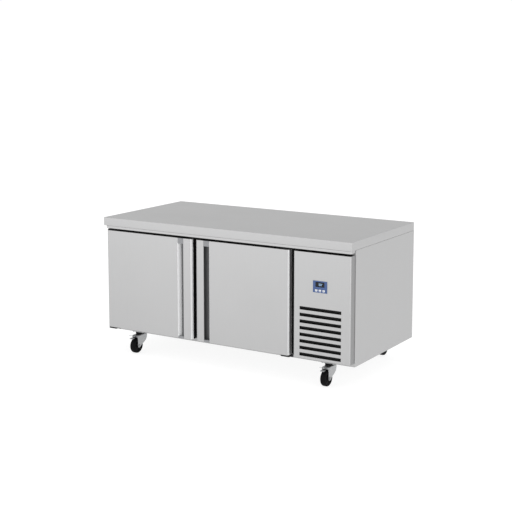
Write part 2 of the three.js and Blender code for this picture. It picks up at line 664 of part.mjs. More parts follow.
function caster(name, x, y, braked, facing) {
  const group = new THREE.Group();
  group.add(casterPlate(name), casterFork(name), casterWheel(name));
  if (braked) group.add(casterPedal(name));
  group.position.set(x, y, 0);
  group.rotation.z = facing;
  return group;
}

// ---------------------------------------------------------------- assembly
const cabinet = new THREE.Group();
cabinet.position.set(-WIDTH / 2, -DEPTH / 2, 0);
cabinet.add(
  worktop(),
  topRail(),
  sidePanel("side_panel_left", 0, 1),
  sidePanel("side_panel_right", WIDTH, -1),
  backPanel(),
  basePan(),
  frontFrame(),
  liner(),
  insulation(),
  shelfRack("shelf_rack_left", CAVITY_LEFT + GAP, MULLION_CENTRE - 4),
  shelfRack("shelf_rack_right", MULLION_CENTRE + 4, PLENUM_LEFT - 4),
  shelf("shelf_left", CAVITY_LEFT + 8, MULLION_CENTRE - 12),
  shelf("shelf_right", MULLION_CENTRE + 12, PLENUM_LEFT - 12),
  evaporatorCover(),
  finnedBlock("evaporator_coil", [CAVITY_RIGHT - 52, 200, 250], [CAVITY_RIGHT - 4, 750, 730], 1, 11, aluminium),
  evaporatorFanMotor(),
  fan("evaporator_fan", "x", [PLENUM_LEFT + 22, EVAPORATOR_FAN.y, EVAPORATOR_FAN.z], EVAPORATOR_FAN.radius, 5, 16, black),
  unitTray(),
  finnedBlock("condenser_coil", [1465, 84, 165], [1785, 130, 485], 0, 9, aluminium),
  condenserFanShroud(),
  fan("condenser_fan", "y", [CONDENSER_FAN.x, 160, CONDENSER_FAN.z], CONDENSER_FAN.radius, 5, 18, aluminium),
  compressor(),
  dischargePipe(),
  evaporationPan(),
  electricalBox(),
  cableGland(),
  compressorCover(),
  controlPlate(),
  controller(),
  ...["key_set", "key_down", "key_up"].map(key),
);
for (const side of ["left", "right"]) {
  cabinet.add(door(side));
  for (const level of ["upper", "lower"]) cabinet.add(hingeBracket(side, level));
}
for (const side of ["left", "right"]) {
  cabinet.add(caster(`front_${side}`, CASTER_FRONT[side], CASTER_FRONT.y, true, 0));
  cabinet.add(caster(`rear_${side}`, CASTER_REAR[side], CASTER_REAR.y, false, Math.PI));
}

const refrigerator = new THREE.Group();
refrigerator.add(cabinet);
export default refrigerator;
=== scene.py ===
"""Looks of a two-door undercounter refrigerator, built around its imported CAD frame.

Metres, +Z up, and -Y is the front. Outlines are written in millimetres and scaled by MM or metres().
"""

import json
import math

import bmesh
import bpy
from mathutils import Matrix, Vector

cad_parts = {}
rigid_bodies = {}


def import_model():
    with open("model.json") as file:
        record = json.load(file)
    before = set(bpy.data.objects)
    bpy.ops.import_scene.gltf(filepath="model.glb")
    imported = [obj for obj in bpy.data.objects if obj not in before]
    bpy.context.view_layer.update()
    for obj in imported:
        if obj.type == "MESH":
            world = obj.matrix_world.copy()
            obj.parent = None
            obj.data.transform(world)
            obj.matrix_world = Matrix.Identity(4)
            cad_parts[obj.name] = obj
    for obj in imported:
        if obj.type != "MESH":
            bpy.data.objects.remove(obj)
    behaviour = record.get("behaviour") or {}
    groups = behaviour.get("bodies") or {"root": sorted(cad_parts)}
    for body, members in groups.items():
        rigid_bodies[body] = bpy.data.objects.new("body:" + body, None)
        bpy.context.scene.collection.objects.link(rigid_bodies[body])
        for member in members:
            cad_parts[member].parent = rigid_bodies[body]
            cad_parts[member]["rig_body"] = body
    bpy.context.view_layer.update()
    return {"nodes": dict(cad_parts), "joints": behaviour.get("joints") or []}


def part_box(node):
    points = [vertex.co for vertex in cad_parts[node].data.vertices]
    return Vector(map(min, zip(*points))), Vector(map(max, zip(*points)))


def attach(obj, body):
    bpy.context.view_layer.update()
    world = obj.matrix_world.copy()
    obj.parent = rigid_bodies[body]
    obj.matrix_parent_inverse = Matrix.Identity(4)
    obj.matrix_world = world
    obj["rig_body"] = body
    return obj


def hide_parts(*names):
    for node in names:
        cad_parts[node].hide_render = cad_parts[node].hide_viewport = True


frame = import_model()

MM = 0.001
SHEET = 1.2 * MM
CORNERS = [f"{end}_{side}" for end in ("front", "rear") for side in ("left", "right")]
BRAKED = CORNERS[:2]


# ---------------------------------------------------------------- camera, light and floor
def make_camera():
    """A long lens from the front right, a little above the worktop."""
    data = bpy.data.cameras.new("camera")
    data.lens = 82.142
    data.sensor_width = 36
    data.shift_y = -0.12
    camera = bpy.data.objects.new("camera", data)
    camera.location = (3.92965, -6.3933, 2.08696)
    camera.rotation_euler = (math.radians(90 - 7.791), 0, math.radians(31.618))
    bpy.context.scene.collection.objects.link(camera)
    bpy.context.scene.camera = camera


def area_light(name, size, power, place, target):
    """A rectangle of light that faces the target."""
    data = bpy.data.lights.new(name, "AREA")
    data.shape = "RECTANGLE"
    data.size, data.size_y = size
    data.energy = power
    light = bpy.data.objects.new(name, data)
    light.location = place
    light.rotation_euler = (Vector(target) - Vector(place)).to_track_quat("-Z", "Y").to_euler()
    bpy.context.scene.collection.objects.link(light)


def make_studio():
    """A white surround and two weak softboxes, with no tone curve."""
    scene = bpy.context.scene
    scene.view_settings.view_transform = "Standard"
    world = bpy.data.worlds.new("studio")
    world.use_nodes = True
    background = world.node_tree.nodes["Background"]
    background.inputs["Color"].default_value = (1, 1, 1, 1)
    background.inputs["Strength"].default_value = 1.02
    scene.world = world
    area_light("front_softbox", (4, 3), 36, (-2.4, -5, 1.1), (0, 0, 0.5))
    area_light("right_softbox", (6, 3), 70, (4.6, -2.9, 1.1), (0.2, -0.4, 0.5))


def make_floor():
    """A pale floor that glows enough to look as white as the surround."""
    bm = bmesh.new()
    bmesh.ops.create_grid(bm, x_segments=1, y_segments=1, size=60)
    mesh = bpy.data.meshes.new("floor")
    bm.to_mesh(mesh)
    bm.free()
    floor = bpy.data.objects.new("floor", mesh)
    bpy.context.scene.collection.objects.link(floor)
    pale = bpy.data.materials.new("pale_floor")
    pale.use_nodes = True
    feed(pale.node_tree, pale.node_tree.nodes["Principled BSDF"], {
        "Base Color": (0.22, 0.22, 0.22, 1),
        "Roughness": 1,
        "Emission Color": (1, 1, 1, 1),
        "Emission Strength": 0.84,
    })
    mesh.materials.append(pale)


# ---------------------------------------------------------------- materials
def feed(tree, node, inputs):
    """Sets a shader node's inputs. Each is a value, or another node's output to link."""
    for key, value in inputs.items():
        if isinstance(value, bpy.types.NodeSocket):
            tree.links.new(value, node.inputs[key])
        else:
            node.inputs[key].default_value = value


def add_node(tree, kind, inputs, output, **settings):
    """Adds a shader node, feeds it, and returns one of its outputs."""
    node = tree.nodes.new(kind)
    for name, value in settings.items():
        setattr(node, name, value)
    feed(tree, node, inputs)
    return node.outputs[output]


def spread(tree, source, low, high, to_low=0.0, to_high=1.0):
    """Stretches low to high over to_low to to_high."""
    span = {"Value": source, "From Min": low, "From Max": high, "To Min": to_low, "To Max": to_high}
    return add_node(tree, "ShaderNodeMapRange", span, "Result")


def mix(tree, share, a, b):
    """Goes from colour a to colour b by the share."""
    return add_node(tree, "ShaderNodeMix", {"Factor": share, "A": a, "B": b}, "Result", data_type="RGBA")


def surface(
    name, colour, roughness, metallic=0.0, stretch=(60, 60, 60), tint=0.04, rough=0.06, bump=0.05,
    depth=0.0002, wear=None, coat=0.0, glow=0.0, shine=0.5,
):
    """A material whose tint, roughness and bump follow a noise stretched along its grain.

    wear is the colour that shows on worn edges.
    """
    made = bpy.data.materials.new(name)
    made.use_nodes = True
    tree = made.node_tree
    where = add_node(tree, "ShaderNodeTexCoord", {}, "Object")
    scaled = add_node(tree, "ShaderNodeMapping", {"Vector": where, "Scale": stretch}, "Vector")
    fine = {"Vector": scaled, "Scale": 1, "Detail": 6, "Roughness": 0.6}
    grain = add_node(tree, "ShaderNodeTexNoise", fine, "Fac")
    cloud = add_node(tree, "ShaderNodeTexNoise", {"Vector": where, "Scale": 3.5, "Detail": 3}, "Fac")
    share = add_node(tree, "ShaderNodeMath", {0: cloud, 1: 0.4}, "Value", operation="MULTIPLY")
    both = add_node(tree, "ShaderNodeMath", {0: grain, 1: 0.6, 2: share}, "Value", operation="MULTIPLY_ADD")

    patches = spread(tree, both, 0.3, 0.7)
    darker, lighter = ((*[min(c * level, 1) for c in colour], 1) for level in (1 - tint, 1 + tint))
    tinted = mix(tree, patches, darker, lighter)
    if wear:
        edge = spread(tree, add_node(tree, "ShaderNodeNewGeometry", {}, "Pointiness"), 0.53, 0.6)
        broken = add_node(tree, "ShaderNodeMath", {0: edge, 1: patches}, "Value", operation="MULTIPLY")
        tinted = mix(tree, broken, tinted, (*wear, 1))
    glossiest, dullest = max(roughness - rough, 0.03), min(roughness + rough, 1)
    relief = {"Strength": bump, "Distance": depth, "Height": grain}
    shader = tree.nodes["Principled BSDF"]
    feed(tree, shader, {
        "Base Color": tinted,
        "Roughness": spread(tree, both, 0.3, 0.7, glossiest, dullest),
        "Metallic": metallic,
        "Coat Weight": coat,
        "Specular IOR Level": shine,
        "Normal": add_node(tree, "ShaderNodeBump", relief, "Normal"),
    })
    if glow:
        feed(tree, shader, {"Emission Color": (*colour, 1), "Emission Strength": glow})
    return made


UPRIGHT = (900, 900, 7)  # brush lines that run up and down
ALONG = (7, 900, 900)  # brush lines that run left to right
ACROSS = (900, 7, 900)  # brush lines that run front to back

STEEL = (0.445, 0.445, 0.447)
# The next colour is the steel made darker: painted shade for faces turned up, on the worktop and the base
# pan.
SHADED_TOP_STEEL = (0.368, 0.368, 0.37)
SHADED_STEEL = (0.275, 0.275, 0.277)
looks = {
    "stainless": surface("stainless", STEEL, 0.42, 0.75, UPRIGHT, bump=0.1),
    "worktop": surface("worktop_steel_painted_shade", SHADED_TOP_STEEL, 0.42, 0.75, ALONG, bump=0.1),
    "rail": surface("rail_steel", STEEL, 0.42, 0.75, ALONG, bump=0.1),
    # A darker copy of the steel: painted shade on the cover's side return.
    "painted_shade_strip": surface("painted_shade_steel", SHADED_STEEL, 0.42, 0.75, UPRIGHT, bump=0.1),
    # Near-white aluminium: painted highlight on the handle's hinge-side wall and on the doors' free-edge
    # sides.
    "painted_highlight_trim": surface("painted_highlight_trim", (0.9, 0.905, 0.91), 0.38, 0.15, UPRIGHT, tint=0.01),
    # A lighter aluminium for the door corner trims, made light to show the highlight the corners catch:
    # partly their colour, partly painted highlight.
    "corner_trim_painted_highlight": surface("corner_trim_painted_highlight", (0.64, 0.643, 0.648), 0.42, 0.3, UPRIGHT, tint=0.01),
    # Near-black aluminium: painted shade inside the handle's finger channel.
    "painted_shade_channel": surface("channel_painted_shade", (0.12, 0.122, 0.125), 0.45, 0.5, UPRIGHT),
    "liner": surface("liner_steel", (0.55, 0.55, 0.553), 0.36, 0.6, ACROSS, bump=0.08),
    "aluminium": surface("aluminium", (0.66, 0.67, 0.69), 0.36, 0.8, UPRIGHT),
    "fins": surface("fins", (0.6, 0.61, 0.62), 0.45, 0.8, (40, 40, 300)),
    "black_plastic": surface(
        "black_plastic", (0.006, 0.006, 0.0065), 0.6, wear=(0.02, 0.02, 0.02), shine=0.06),
    "hinge_metal": surface("hinge_metal", (0.012, 0.012, 0.013), 0.5, wear=(0.06, 0.06, 0.06), shine=0.2),
    "gasket_rubber": surface("gasket_rubber", (0.008, 0.008, 0.008), 0.7, bump=0.15, shine=0.15),
    "foam": surface("foam", (0.75, 0.66, 0.4), 0.95, stretch=(500, 500, 500), bump=0.5, tint=0.1),
    "zinc": surface("zinc", (0.5, 0.51, 0.52), 0.35, 0.85, (90, 90, 90), tint=0.1, rough=0.1),
    "shelf_coat": surface("shelf_coat", (0.78, 0.78, 0.79), 0.4, bump=0.1),
    "dark_metal": surface("dark_metal", (0.018, 0.019, 0.021), 0.45, 0.2, wear=(0.15, 0.15, 0.15)),
    "copper": surface("copper", (0.7, 0.34, 0.2), 0.35, 0.9, tint=0.12),
    "grey_plastic": surface("grey_plastic", (0.42, 0.43, 0.45), 0.5, bump=0.15),
    "blue_plate": surface("blue_plate", (0.05, 0.092, 0.225), 0.4, coat=0.1, shine=0.3),
    "key_plastic": surface("key_plastic", (0.75, 0.76, 0.78), 0.45),
    "caster_metal": surface("caster_metal", (0.4, 0.405, 0.41), 0.3, 0.9, (90, 90, 90), tint=0.12, rough=0.1),
    "caster_tyre": surface("caster_tyre", (0.004, 0.004, 0.0045), 0.6, tint=0.3, bump=0.2, shine=0.06),
    "display_glass": surface(
        "display_glass", (0.004, 0.004, 0.006), 0.15, coat=0.15, tint=0.2, bump=0.01, shine=0.25),
    "display_glow": surface("display_glow", (0.35, 0.55, 0.8), 0.4, glow=0.5),
    "print": surface("print_white", (0.82, 0.84, 0.88), 0.5),
    "cap_plastic": surface("cap_plastic", (0.23, 0.233, 0.242), 0.42, bump=0.1),
}


# ---------------------------------------------------------------- mesh building
AXES = {"x": (1, 2, 0), "y": (0, 2, 1), "z": (0, 1, 2)}  # where a, b and the height of an outline go


def metres(points):
    """Points or (radius, height) pairs written in millimetres, in metres."""
    return [tuple(value * MM for value in point) for point in points]


def circle(sides):
    """Equal turns all the way round, in radians."""
    return [i / sides * math.tau for i in range(sides)]


def lay(axis, a, b, height):
    """The point whose outline coordinates are a and b, at this height along the axis."""
    point = [0.0, 0.0, 0.0]
    first, second, along = AXES[axis]
    point[first], point[second], point[along] = a, b, height
    return Vector(point)


def fillet(corners, radius, steps=4):
    """A polygon with each corner rounded. radius is one number, or one for each corner."""
    radii = radius if hasattr(radius, "__len__") else [radius] * len(corners)
    points = []
    for i, corner in enumerate(corners):
        here = Vector(corner)
        before = Vector(corners[i - 1]) - here
        after = Vector(corners[(i + 1) % len(corners)]) - here
        angle = before.angle(after)
        if radii[i] <= 0 or abs(angle - math.pi) < 0.01:
            points.append(here)
            continue
        reach = min(radii[i] / math.tan(angle / 2), before.length * 0.49, after.length * 0.49)
        start, end = here + before.normalized() * reach, here + after.normalized() * reach
        for s in range(steps + 1):
            t = s / steps
            points.append(start * (1 - t) ** 2 + here * 2 * t * (1 - t) + end * t**2)
    return points


def rounded_rectangle(lo, hi, radius, steps=4):
    """Anticlockwise points with true arcs at the corners. Every rectangle has the same number of points."""
    radius = max(min(radius, (hi[0] - lo[0]) * 0.49, (hi[1] - lo[1]) * 0.49), 1e-5)
    points = []
    for i, (x, y) in enumerate(((hi[0], lo[1]), (hi[0], hi[1]), (lo[0], hi[1]), (lo[0], lo[1]))):
        centre_x = x + (-radius if x == hi[0] else radius)
        centre_y = y + (-radius if y == hi[1] else radius)
        for s in range(steps + 1):
            turn = math.radians(-90 + 90 * i + 90 * s / steps)
            points.append((centre_x + radius * math.cos(turn), centre_y + radius * math.sin(turn)))
    return points


class Shape:
    """A mesh under construction. place is where its next parts go."""

    def __init__(self, place=None):
        self.bm = bmesh.new()
        self.place = place or Matrix.Identity(4)

    def loft(self, rings, closed=False, caps=True):
        """Skins rings of equal length, joined in order. closed joins the last ring to the first."""
        rows = [[self.bm.verts.new(self.place @ Vector(p)) for p in ring] for ring in rings]
        count = len(rows[0])
        pairs = list(zip(rows, rows[1:] + (rows[:1] if closed else [])))
        for lower, upper in pairs:
            for i in range(count):
                j = (i + 1) % count
                self.bm.faces.new((lower[i], lower[j], upper[j], upper[i]))
        if caps and not closed:
            self.bm.faces.new(list(reversed(rows[0])))
            self.bm.faces.new(rows[-1])
        return self

    def prism(self, outline, axis, low, high):
        return self.loft([[lay(axis, a, b, h) for a, b in outline] for h in (low, high)])

    def block(self, lo, hi):
        """A box. The piece's bevel rounds its edges."""
        return self.prism([(lo[0], lo[1]), (hi[0], lo[1]), (hi[0], hi[1]), (lo[0], hi[1])], "z", lo[2], hi[2])

    def steps(self, lo, hi, radius, axis, profile, closed=False, caps=True, arc=4):
        """Rounded rectangles joined in order. profile lists (inset, height) pairs."""
        rings = []
        for inset, height in profile:
            outline = rounded_rectangle(
                (lo[0] + inset, lo[1] + inset), (hi[0] - inset, hi[1] - inset), radius - inset, arc)
            rings.append([lay(axis, a, b, height) for a, b in outline])
        return self.loft(rings, closed, caps)

    def lathe(self, profile, centre, axis, sides=32):
        """profile lists (radius, height) pairs. It closes on itself unless it starts and ends at radius 0."""
        closed = profile[0][0] > 0
        rings = []
        for radius, height in profile:
            r = max(radius, 1e-5)
            ring = [lay(axis, r * math.cos(t), r * math.sin(t), height) for t in circle(sides)]
            rings.append([Vector(centre) + point for point in ring])
        return self.loft(rings, closed)

    def rod(self, start, end, radius, sides=14):
        return self.tube([start, end], radius, sides)

    def tube(self, points, radius, sides=10, closed=False):
        """A round bar along a path."""
        path = [Vector(p) for p in points]
        count = len(path)
        rings, side = [], None
        for i, here in enumerate(path):
            before = path[i - 1] if closed or i else here
            after = path[(i + 1) % count] if closed or i < count - 1 else here
            along = (after - before).normalized()
            if side is None:
                side = along.orthogonal().normalized()
            side = (side - along * side.dot(along)).normalized()
            up = along.cross(side)
            rings.append(
                [here + side * (radius * math.cos(t)) + up * (radius * math.sin(t)) for t in circle(sides)])
        return self.loft(rings, closed)

    def screw(self, point, normal, radius=3.6 * MM, washer=False):
        """A pan head with a hex socket, standing on the point."""
        kept = self.place
        upright = Vector(normal).to_track_quat("Z", "Y").to_matrix().to_4x4()
        self.place = kept @ Matrix.Translation(Vector(point)) @ upright
        r, h = radius, radius * 0.62
        if washer:
            disc = [(0, 0), (r * 1.6, 0), (r * 1.6, h * 0.3), (0, h * 0.3)]
            self.lathe(disc, (0, 0, 0), "z", 18)
            self.place = self.place @ Matrix.Translation((0, 0, h * 0.28))
        head = [(0, 0), (r, 0), (r, h * 0.35), (r * 0.86, h * 0.8), (r * 0.6, h), (r * 0.42, h),
                (r * 0.42, h * 0.45), (0, h * 0.45)]
        self.lathe(head, (0, 0, 0), "z", 12)
        self.place = kept
        return self


def piece(name, shape, body, slot, look=None, bevel=0.0, segments=2, replaces=(), angle=38):
    """Turns a shape into an object that rides on a body."""
    if isinstance(shape, Shape):
        bmesh.ops.recalc_face_normals(shape.bm, faces=shape.bm.faces)
        mesh = bpy.data.meshes.new(name)
        shape.bm.to_mesh(mesh)
        shape.bm.free()
    else:
        mesh = shape
    mesh.shade_smooth()
    mesh.set_sharp_from_angle(angle=math.radians(angle))
    made = bpy.data.objects.new(name, mesh)
    bpy.context.scene.collection.objects.link(made)
    if bevel:
        rounding = made.modifiers.new("rounding", "BEVEL")
        rounding.width = bevel
        rounding.segments = segments
        rounding.limit_method = "ANGLE"
        rounding.angle_limit = math.radians(angle)
    evened = made.modifiers.new("even_normals", "WEIGHTED_NORMAL")
    evened.keep_sharp = True
    mesh.materials.clear()
    mesh.materials.append(looks[look or slot])
    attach(made, body)
    if replaces:
        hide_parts(*replaces)
    return made


def body_of(node):
    """The body that a CAD node belongs to."""
    return frame["nodes"][node]["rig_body"]


def pivot_of(body):
    """Where the joint that carries this body sits."""
    return Vector(next(joint for joint in frame["joints"] if joint["child"] == body)["pos_m"])


def refined(node, slot, look=None, bevel=0.4 * MM, segments=2):
    """The node's own solid with its flat faces made whole and its edges rounded."""
    bm = bmesh.new()
    bm.from_mesh(frame["nodes"][node].data)
    bmesh.ops.remove_doubles(bm, verts=bm.verts, dist=1e-6)
    bmesh.ops.dissolve_limit(bm, angle_limit=math.radians(0.4), verts=bm.verts, edges=bm.edges)
    mesh = bpy.data.meshes.new(f"{node}_finished")
    bm.to_mesh(mesh)
    bm.free()
    return piece(f"{node}_finished", mesh, body_of(node), slot, look, bevel, segments, [node])


def edges(node):
    """x0, x1, y0, y1, z0, z1 of a node."""
    lo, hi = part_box(node)
    return lo.x, hi.x, lo.y, hi.y, lo.z, hi.z


# ---------------------------------------------------------------- casing
def make_worktop():
    """A folded sheet, hollow underneath. Its top face and its apron are brushed alike, but faces turned up or
    down take a darker copy of the steel: painted shade.
    """
    x0, x1, y0, y1, z0, z1 = edges("worktop")
    lip = 15 * MM
    corner = 3 * MM
    r = 2.2 * MM
    s = math.sqrt(0.5)
    profile = [
        (SHEET, z1 - SHEET), (SHEET, z0 + SHEET), (lip, z0 + SHEET), (lip, z0), (r, z0),
        (r * (1 - s), z0 + r * (1 - s)), (0, z0 + r), (0, z1 - r), (r * 0.13, z1 - r * 0.5),
        (r * (1 - s), z1 - r * (1 - s)), (r * 0.5, z1 - r * 0.13), (r, z1),
    ]
    top = Shape().steps((x0, y0), (x1, y1), corner, "z", profile, arc=6)
    mesh = piece("worktop_top", top, "cabinet", "stainless", "worktop", replaces=["worktop"]).data
    mesh.materials.append(looks["rail"])
    # Upright faces take the lighter rail steel; the rest keep the darker copy, painted shade on faces turned
    # up or down.
    for face in mesh.polygons:
        if abs(face.normal.z) < 0.5:
            face.material_index = 1


def make_casing():
    """The worktop, sheets, front frame, liner and foam."""
    make_worktop()
    refined("top_rail", "stainless", "rail", 0.7 * MM)
    for side in ("left", "right"):
        refined(f"side_panel_{side}", "stainless", bevel=0.5 * MM)
    refined("back_panel", "stainless", bevel=0.3 * MM)
    # The base pan takes the worktop's darker steel: painted shade.
    refined("base_pan", "stainless", "worktop", 0.4 * MM)
    refined("front_frame", "black_plastic", bevel=1.5 * MM, segments=3)
    make_liner()
    make_back_details()
    foam = frame["nodes"]["insulation"].data
    foam.materials.clear()
    foam.materials.append(looks["foam"])


def make_liner():
    """A pressed tub with round inner corners."""
    x0, x1, y0, y1, z0, z1 = edges("liner")
    wall = 1 * MM
    cove = 14 * MM
    inside = [(wall, y0)]
    for s in range(6):
        t = math.radians(90 * s / 5)
        inside.append((wall + cove * (1 - math.cos(t)), y1 - wall - cove + cove * math.sin(t)))
    outside = [(0, y0)] + [(inset - wall, y + (wall if inset > wall else 0)) for inset, y in inside[1:]]
    tub = Shape().steps((x0, z0), (x1, z1), cove, "y", list(reversed(inside)) + outside, arc=5)
    piece("liner_tub", tub, "cabinet", "stainless", "liner", replaces=["liner"])


BACK_SLOTS = {"left": 1498.5, "right": 1758.5, "lowest": 200, "pitch": 40, "count": 8}


def make_back_details():
    """Hoods over the air slots, the panel's screws, a blank plate and the cable gland."""
    x0, x1, _, y1, z0, z1 = edges("back_panel")
    back = (0, 1, 0)
    hoods = Shape()
    left, right = x0 + BACK_SLOTS["left"] * MM, x0 + BACK_SLOTS["right"] * MM
    turns = [math.radians(degrees) for degrees in range(0, 91, 15)]
    for i in range(BACK_SLOTS["count"]):
        z = (BACK_SLOTS["lowest"] + BACK_SLOTS["pitch"] * i) * MM
        arc = [(y1 - 12 * MM * math.sin(t), z + 14 * MM * math.cos(t)) for t in turns]
        inner = [(y + 0.9 * MM, h - 0.6 * MM) for y, h in reversed(arc)]
        hoods.prism(arc + inner, "x", left, right)
    piece("back_louvre_hoods", hoods, "cabinet", "stainless")
    screws = Shape()
    low, high = z0 + 25 * MM, z1 - 30 * MM
    for z in (low, (z0 + z1) / 2, high):
        for x in (x0 + 20 * MM, x1 - 20 * MM):
            screws.screw((x, y1, z), back)
    for i in range(1, 6):
        for z in (low, high):
            screws.screw((x0 + (x1 - x0) * i / 6, y1, z), back)
    piece("back_panel_screws", screws, "cabinet", "zinc")
    lower_left, upper_right = (x0 + 1.36, 0.715), (x0 + 1.45, 0.765)
    plate = Shape().steps(lower_left, upper_right, 3 * MM, "y", [(0, y1), (0, y1 + 0.5 * MM)])
    piece("back_blank_plate", plate, "cabinet", "aluminium", bevel=0.2 * MM)
    refined("cable_gland", "black_plastic", bevel=0.6 * MM)


# ---------------------------------------------------------------- cold space
def make_shelf(side):
    """Welded wires: a rim, three bars across and thin wires from front to back."""
    node = f"shelf_{side}"
    x0, x1, y0, y1, z0, _ = edges(node)
    rim, wire = 2.3 * MM, 1.5 * MM
    spacing = 24 * MM
    corner = 14 * MM
    z = z0 + rim
    bar_z, wire_z = z - 0.4 * MM, z + 1.2 * MM
    shelf = Shape()
    outline = rounded_rectangle((x0 + rim, y0 + rim), (x1 - rim, y1 - rim), corner, 5)
    shelf.tube([(x, y, z) for x, y in outline], rim, 10, closed=True)
    for t in (0.25, 0.5, 0.75):
        y = y0 + (y1 - y0) * t
        shelf.rod((x0 + rim, y, bar_z), (x1 - rim, y, bar_z), rim * 0.8, 8)
    count = round((x1 - x0) / spacing)
    for i in range(1, count):
        x = x0 + (x1 - x0) * i / count
        shelf.rod((x, y0 + rim, wire_z), (x, y1 - rim, wire_z), wire * 0.9, 6)
    piece(f"{node}_wires", shelf, "cabinet", "shelf_coat", replaces=[node])
    refined(f"shelf_rack_{side}", "zinc", bevel=0.5 * MM)


def make_fin_pack(node, along, count, body="cabinet"):
    """Thin fins on copper tubes between two end plates. along is the axis that the fins are stacked on."""
    x0, x1, y0, y1, z0, z1 = edges(node)
    lo, hi = [x0, y0, z0], [x1, y1, z1]
    edge = 12 * MM
    end_plate = 1.5 * MM
    lid = 1.2 * MM
    fins = Shape()
    for i in range(count):
        a, b = list(lo), list(hi)
        middle = lo[along] + (hi[along] - lo[along]) * (i + 0.5) / count
        a[along], b[along] = middle - 0.2 * MM, middle + 0.2 * MM
        a[2] += edge * 0.4
        b[2] -= edge * 0.4
        fins.block(a, b)
    piece(f"{node}_fins", fins, body, "aluminium", "fins", replaces=[node])
    plates = Shape()
    for start in (lo[along], hi[along] - end_plate):
        a, b = list(lo), list(hi)
        a[along], b[along] = start, start + end_plate
        plates.block(a, b)
    for z in (z0, z1 - lid):
        plates.block((x0, y0, z), (x1, y1, z + lid))
    piece(f"{node}_end_plates", plates, body, "zinc", bevel=0.3 * MM)
    tubes = Shape()
    across = 1 - along
    rows = int((z1 - z0 - 2 * edge) / (26 * MM))
    for row in range(rows):
        z = z0 + edge + (z1 - z0 - 2 * edge) * (row + 0.5) / rows
        start, end = [0, 0, z], [0, 0, z]
        for point in (start, end):
            point[across] = (lo[across] + hi[across]) / 2 + (5 if row % 2 else -5) * MM
        start[along], end[along] = lo[along] + 2 * MM, hi[along] - 2 * MM
        tubes.rod(start, end, 4.2 * MM, 10)
    piece(f"{node}_tubes", tubes, body, "copper")


FAN_HUB = 24 * MM
BLADE_HALF_THICKNESS = 0.7 * MM


def blade_rings(centre, axis, start, tip, half):
    """Sections of one cambered blade that twists from the hub to the tip. start is the root's turn."""
    rings = []
    for i in range(8):
        t = i / 7
        r = FAN_HUB - 4 * MM + (tip - FAN_HUB + 3.4 * MM) * t
        sweep = 0.30 * t
        chord = 0.33 + 0.12 * math.sin(t * math.pi * 0.8)
        lean = half * (0.80 - 0.25 * t)
        front, back = [], []
        for k in range(9):
            u = k / 8 * 2 - 1
            angle = start + sweep + chord * u
            height = lean * (u * 0.9 + 0.18 * (1 - u * u))
            edge = BLADE_HALF_THICKNESS * math.sqrt(max(1 - u * u, 0.04))
            a, b = r * math.cos(angle), r * math.sin(angle)
            front.append(centre + lay(axis, a, b, height + edge))
            back.append(centre + lay(axis, a, b, height - edge))
        rings.append(front + list(reversed(back)))
    return rings


def make_fan(node, axis, blades, slot):
    """Blades round a hub that is open in the middle for the shaft."""
    x0, x1, y0, y1, z0, z1 = edges(node)
    centre = pivot_of(body_of(node))
    across, deep = (y1 - y0, x1 - x0) if axis == "x" else (x1 - x0, y1 - y0)
    tip = max(z1 - z0, across) / 2
    fan = Shape()
    for turn in circle(blades):
        fan.loft(blade_rings(centre, axis, turn, tip, deep / 2))
    hub = [(4, -8), (21.6, -8), (24, -6), (24, 6), (21.6, 8), (8, 8), (7, 6), (4, 6)]
    fan.lathe(metres(hub), centre, axis, 28)
    piece(f"{node}_blades", fan, body_of(node), slot, replaces=[node], angle=50)


def make_fan_guard():
    """Wire rings over the evaporator fan's mouth."""
    pivot = pivot_of(body_of("evaporator_fan"))
    x = edges("evaporator_cover")[0] - 2.2 * MM
    guard = Shape()
    for radius in (28, 46, 64, 82, 100, 112):
        r = radius * MM
        ring = [(x, pivot.y + r * math.cos(t), pivot.z + r * math.sin(t)) for t in circle(40)]
        guard.tube(ring, 1.2 * MM, 6, closed=True)
    for i in range(4):
        turn = math.radians(45 + 90 * i)
        reach = [28 * MM, 116 * MM]
        ends = [(x + 0.8 * MM, pivot.y + r * math.cos(turn), pivot.z + r * math.sin(turn)) for r in reach]
        guard.rod(*ends, 1.4 * MM, 8)
    piece("evaporator_fan_guard", guard, "cabinet", "shelf_coat")


def make_cold_space():
    """The shelves on their racks, and the evaporator with its fan."""
    for side in ("left", "right"):
        make_shelf(side)
    refined("evaporator_cover", "stainless", bevel=0.5 * MM)
    make_fin_pack("evaporator_coil", 1, 78)
    refined("evaporator_fan_motor", "dark_metal", bevel=0.8 * MM)
    make_fan("evaporator_fan", "x", 5, "black_plastic")
    make_fan_guard()


# ---------------------------------------------------------------- condensing unit
def compressor_foot():
    """The middle of the compressor's underside."""
    x0, _, y0, y1, z0, _ = edges("compressor")
    return x0 + 110 * MM, (y0 + y1) / 2, z0


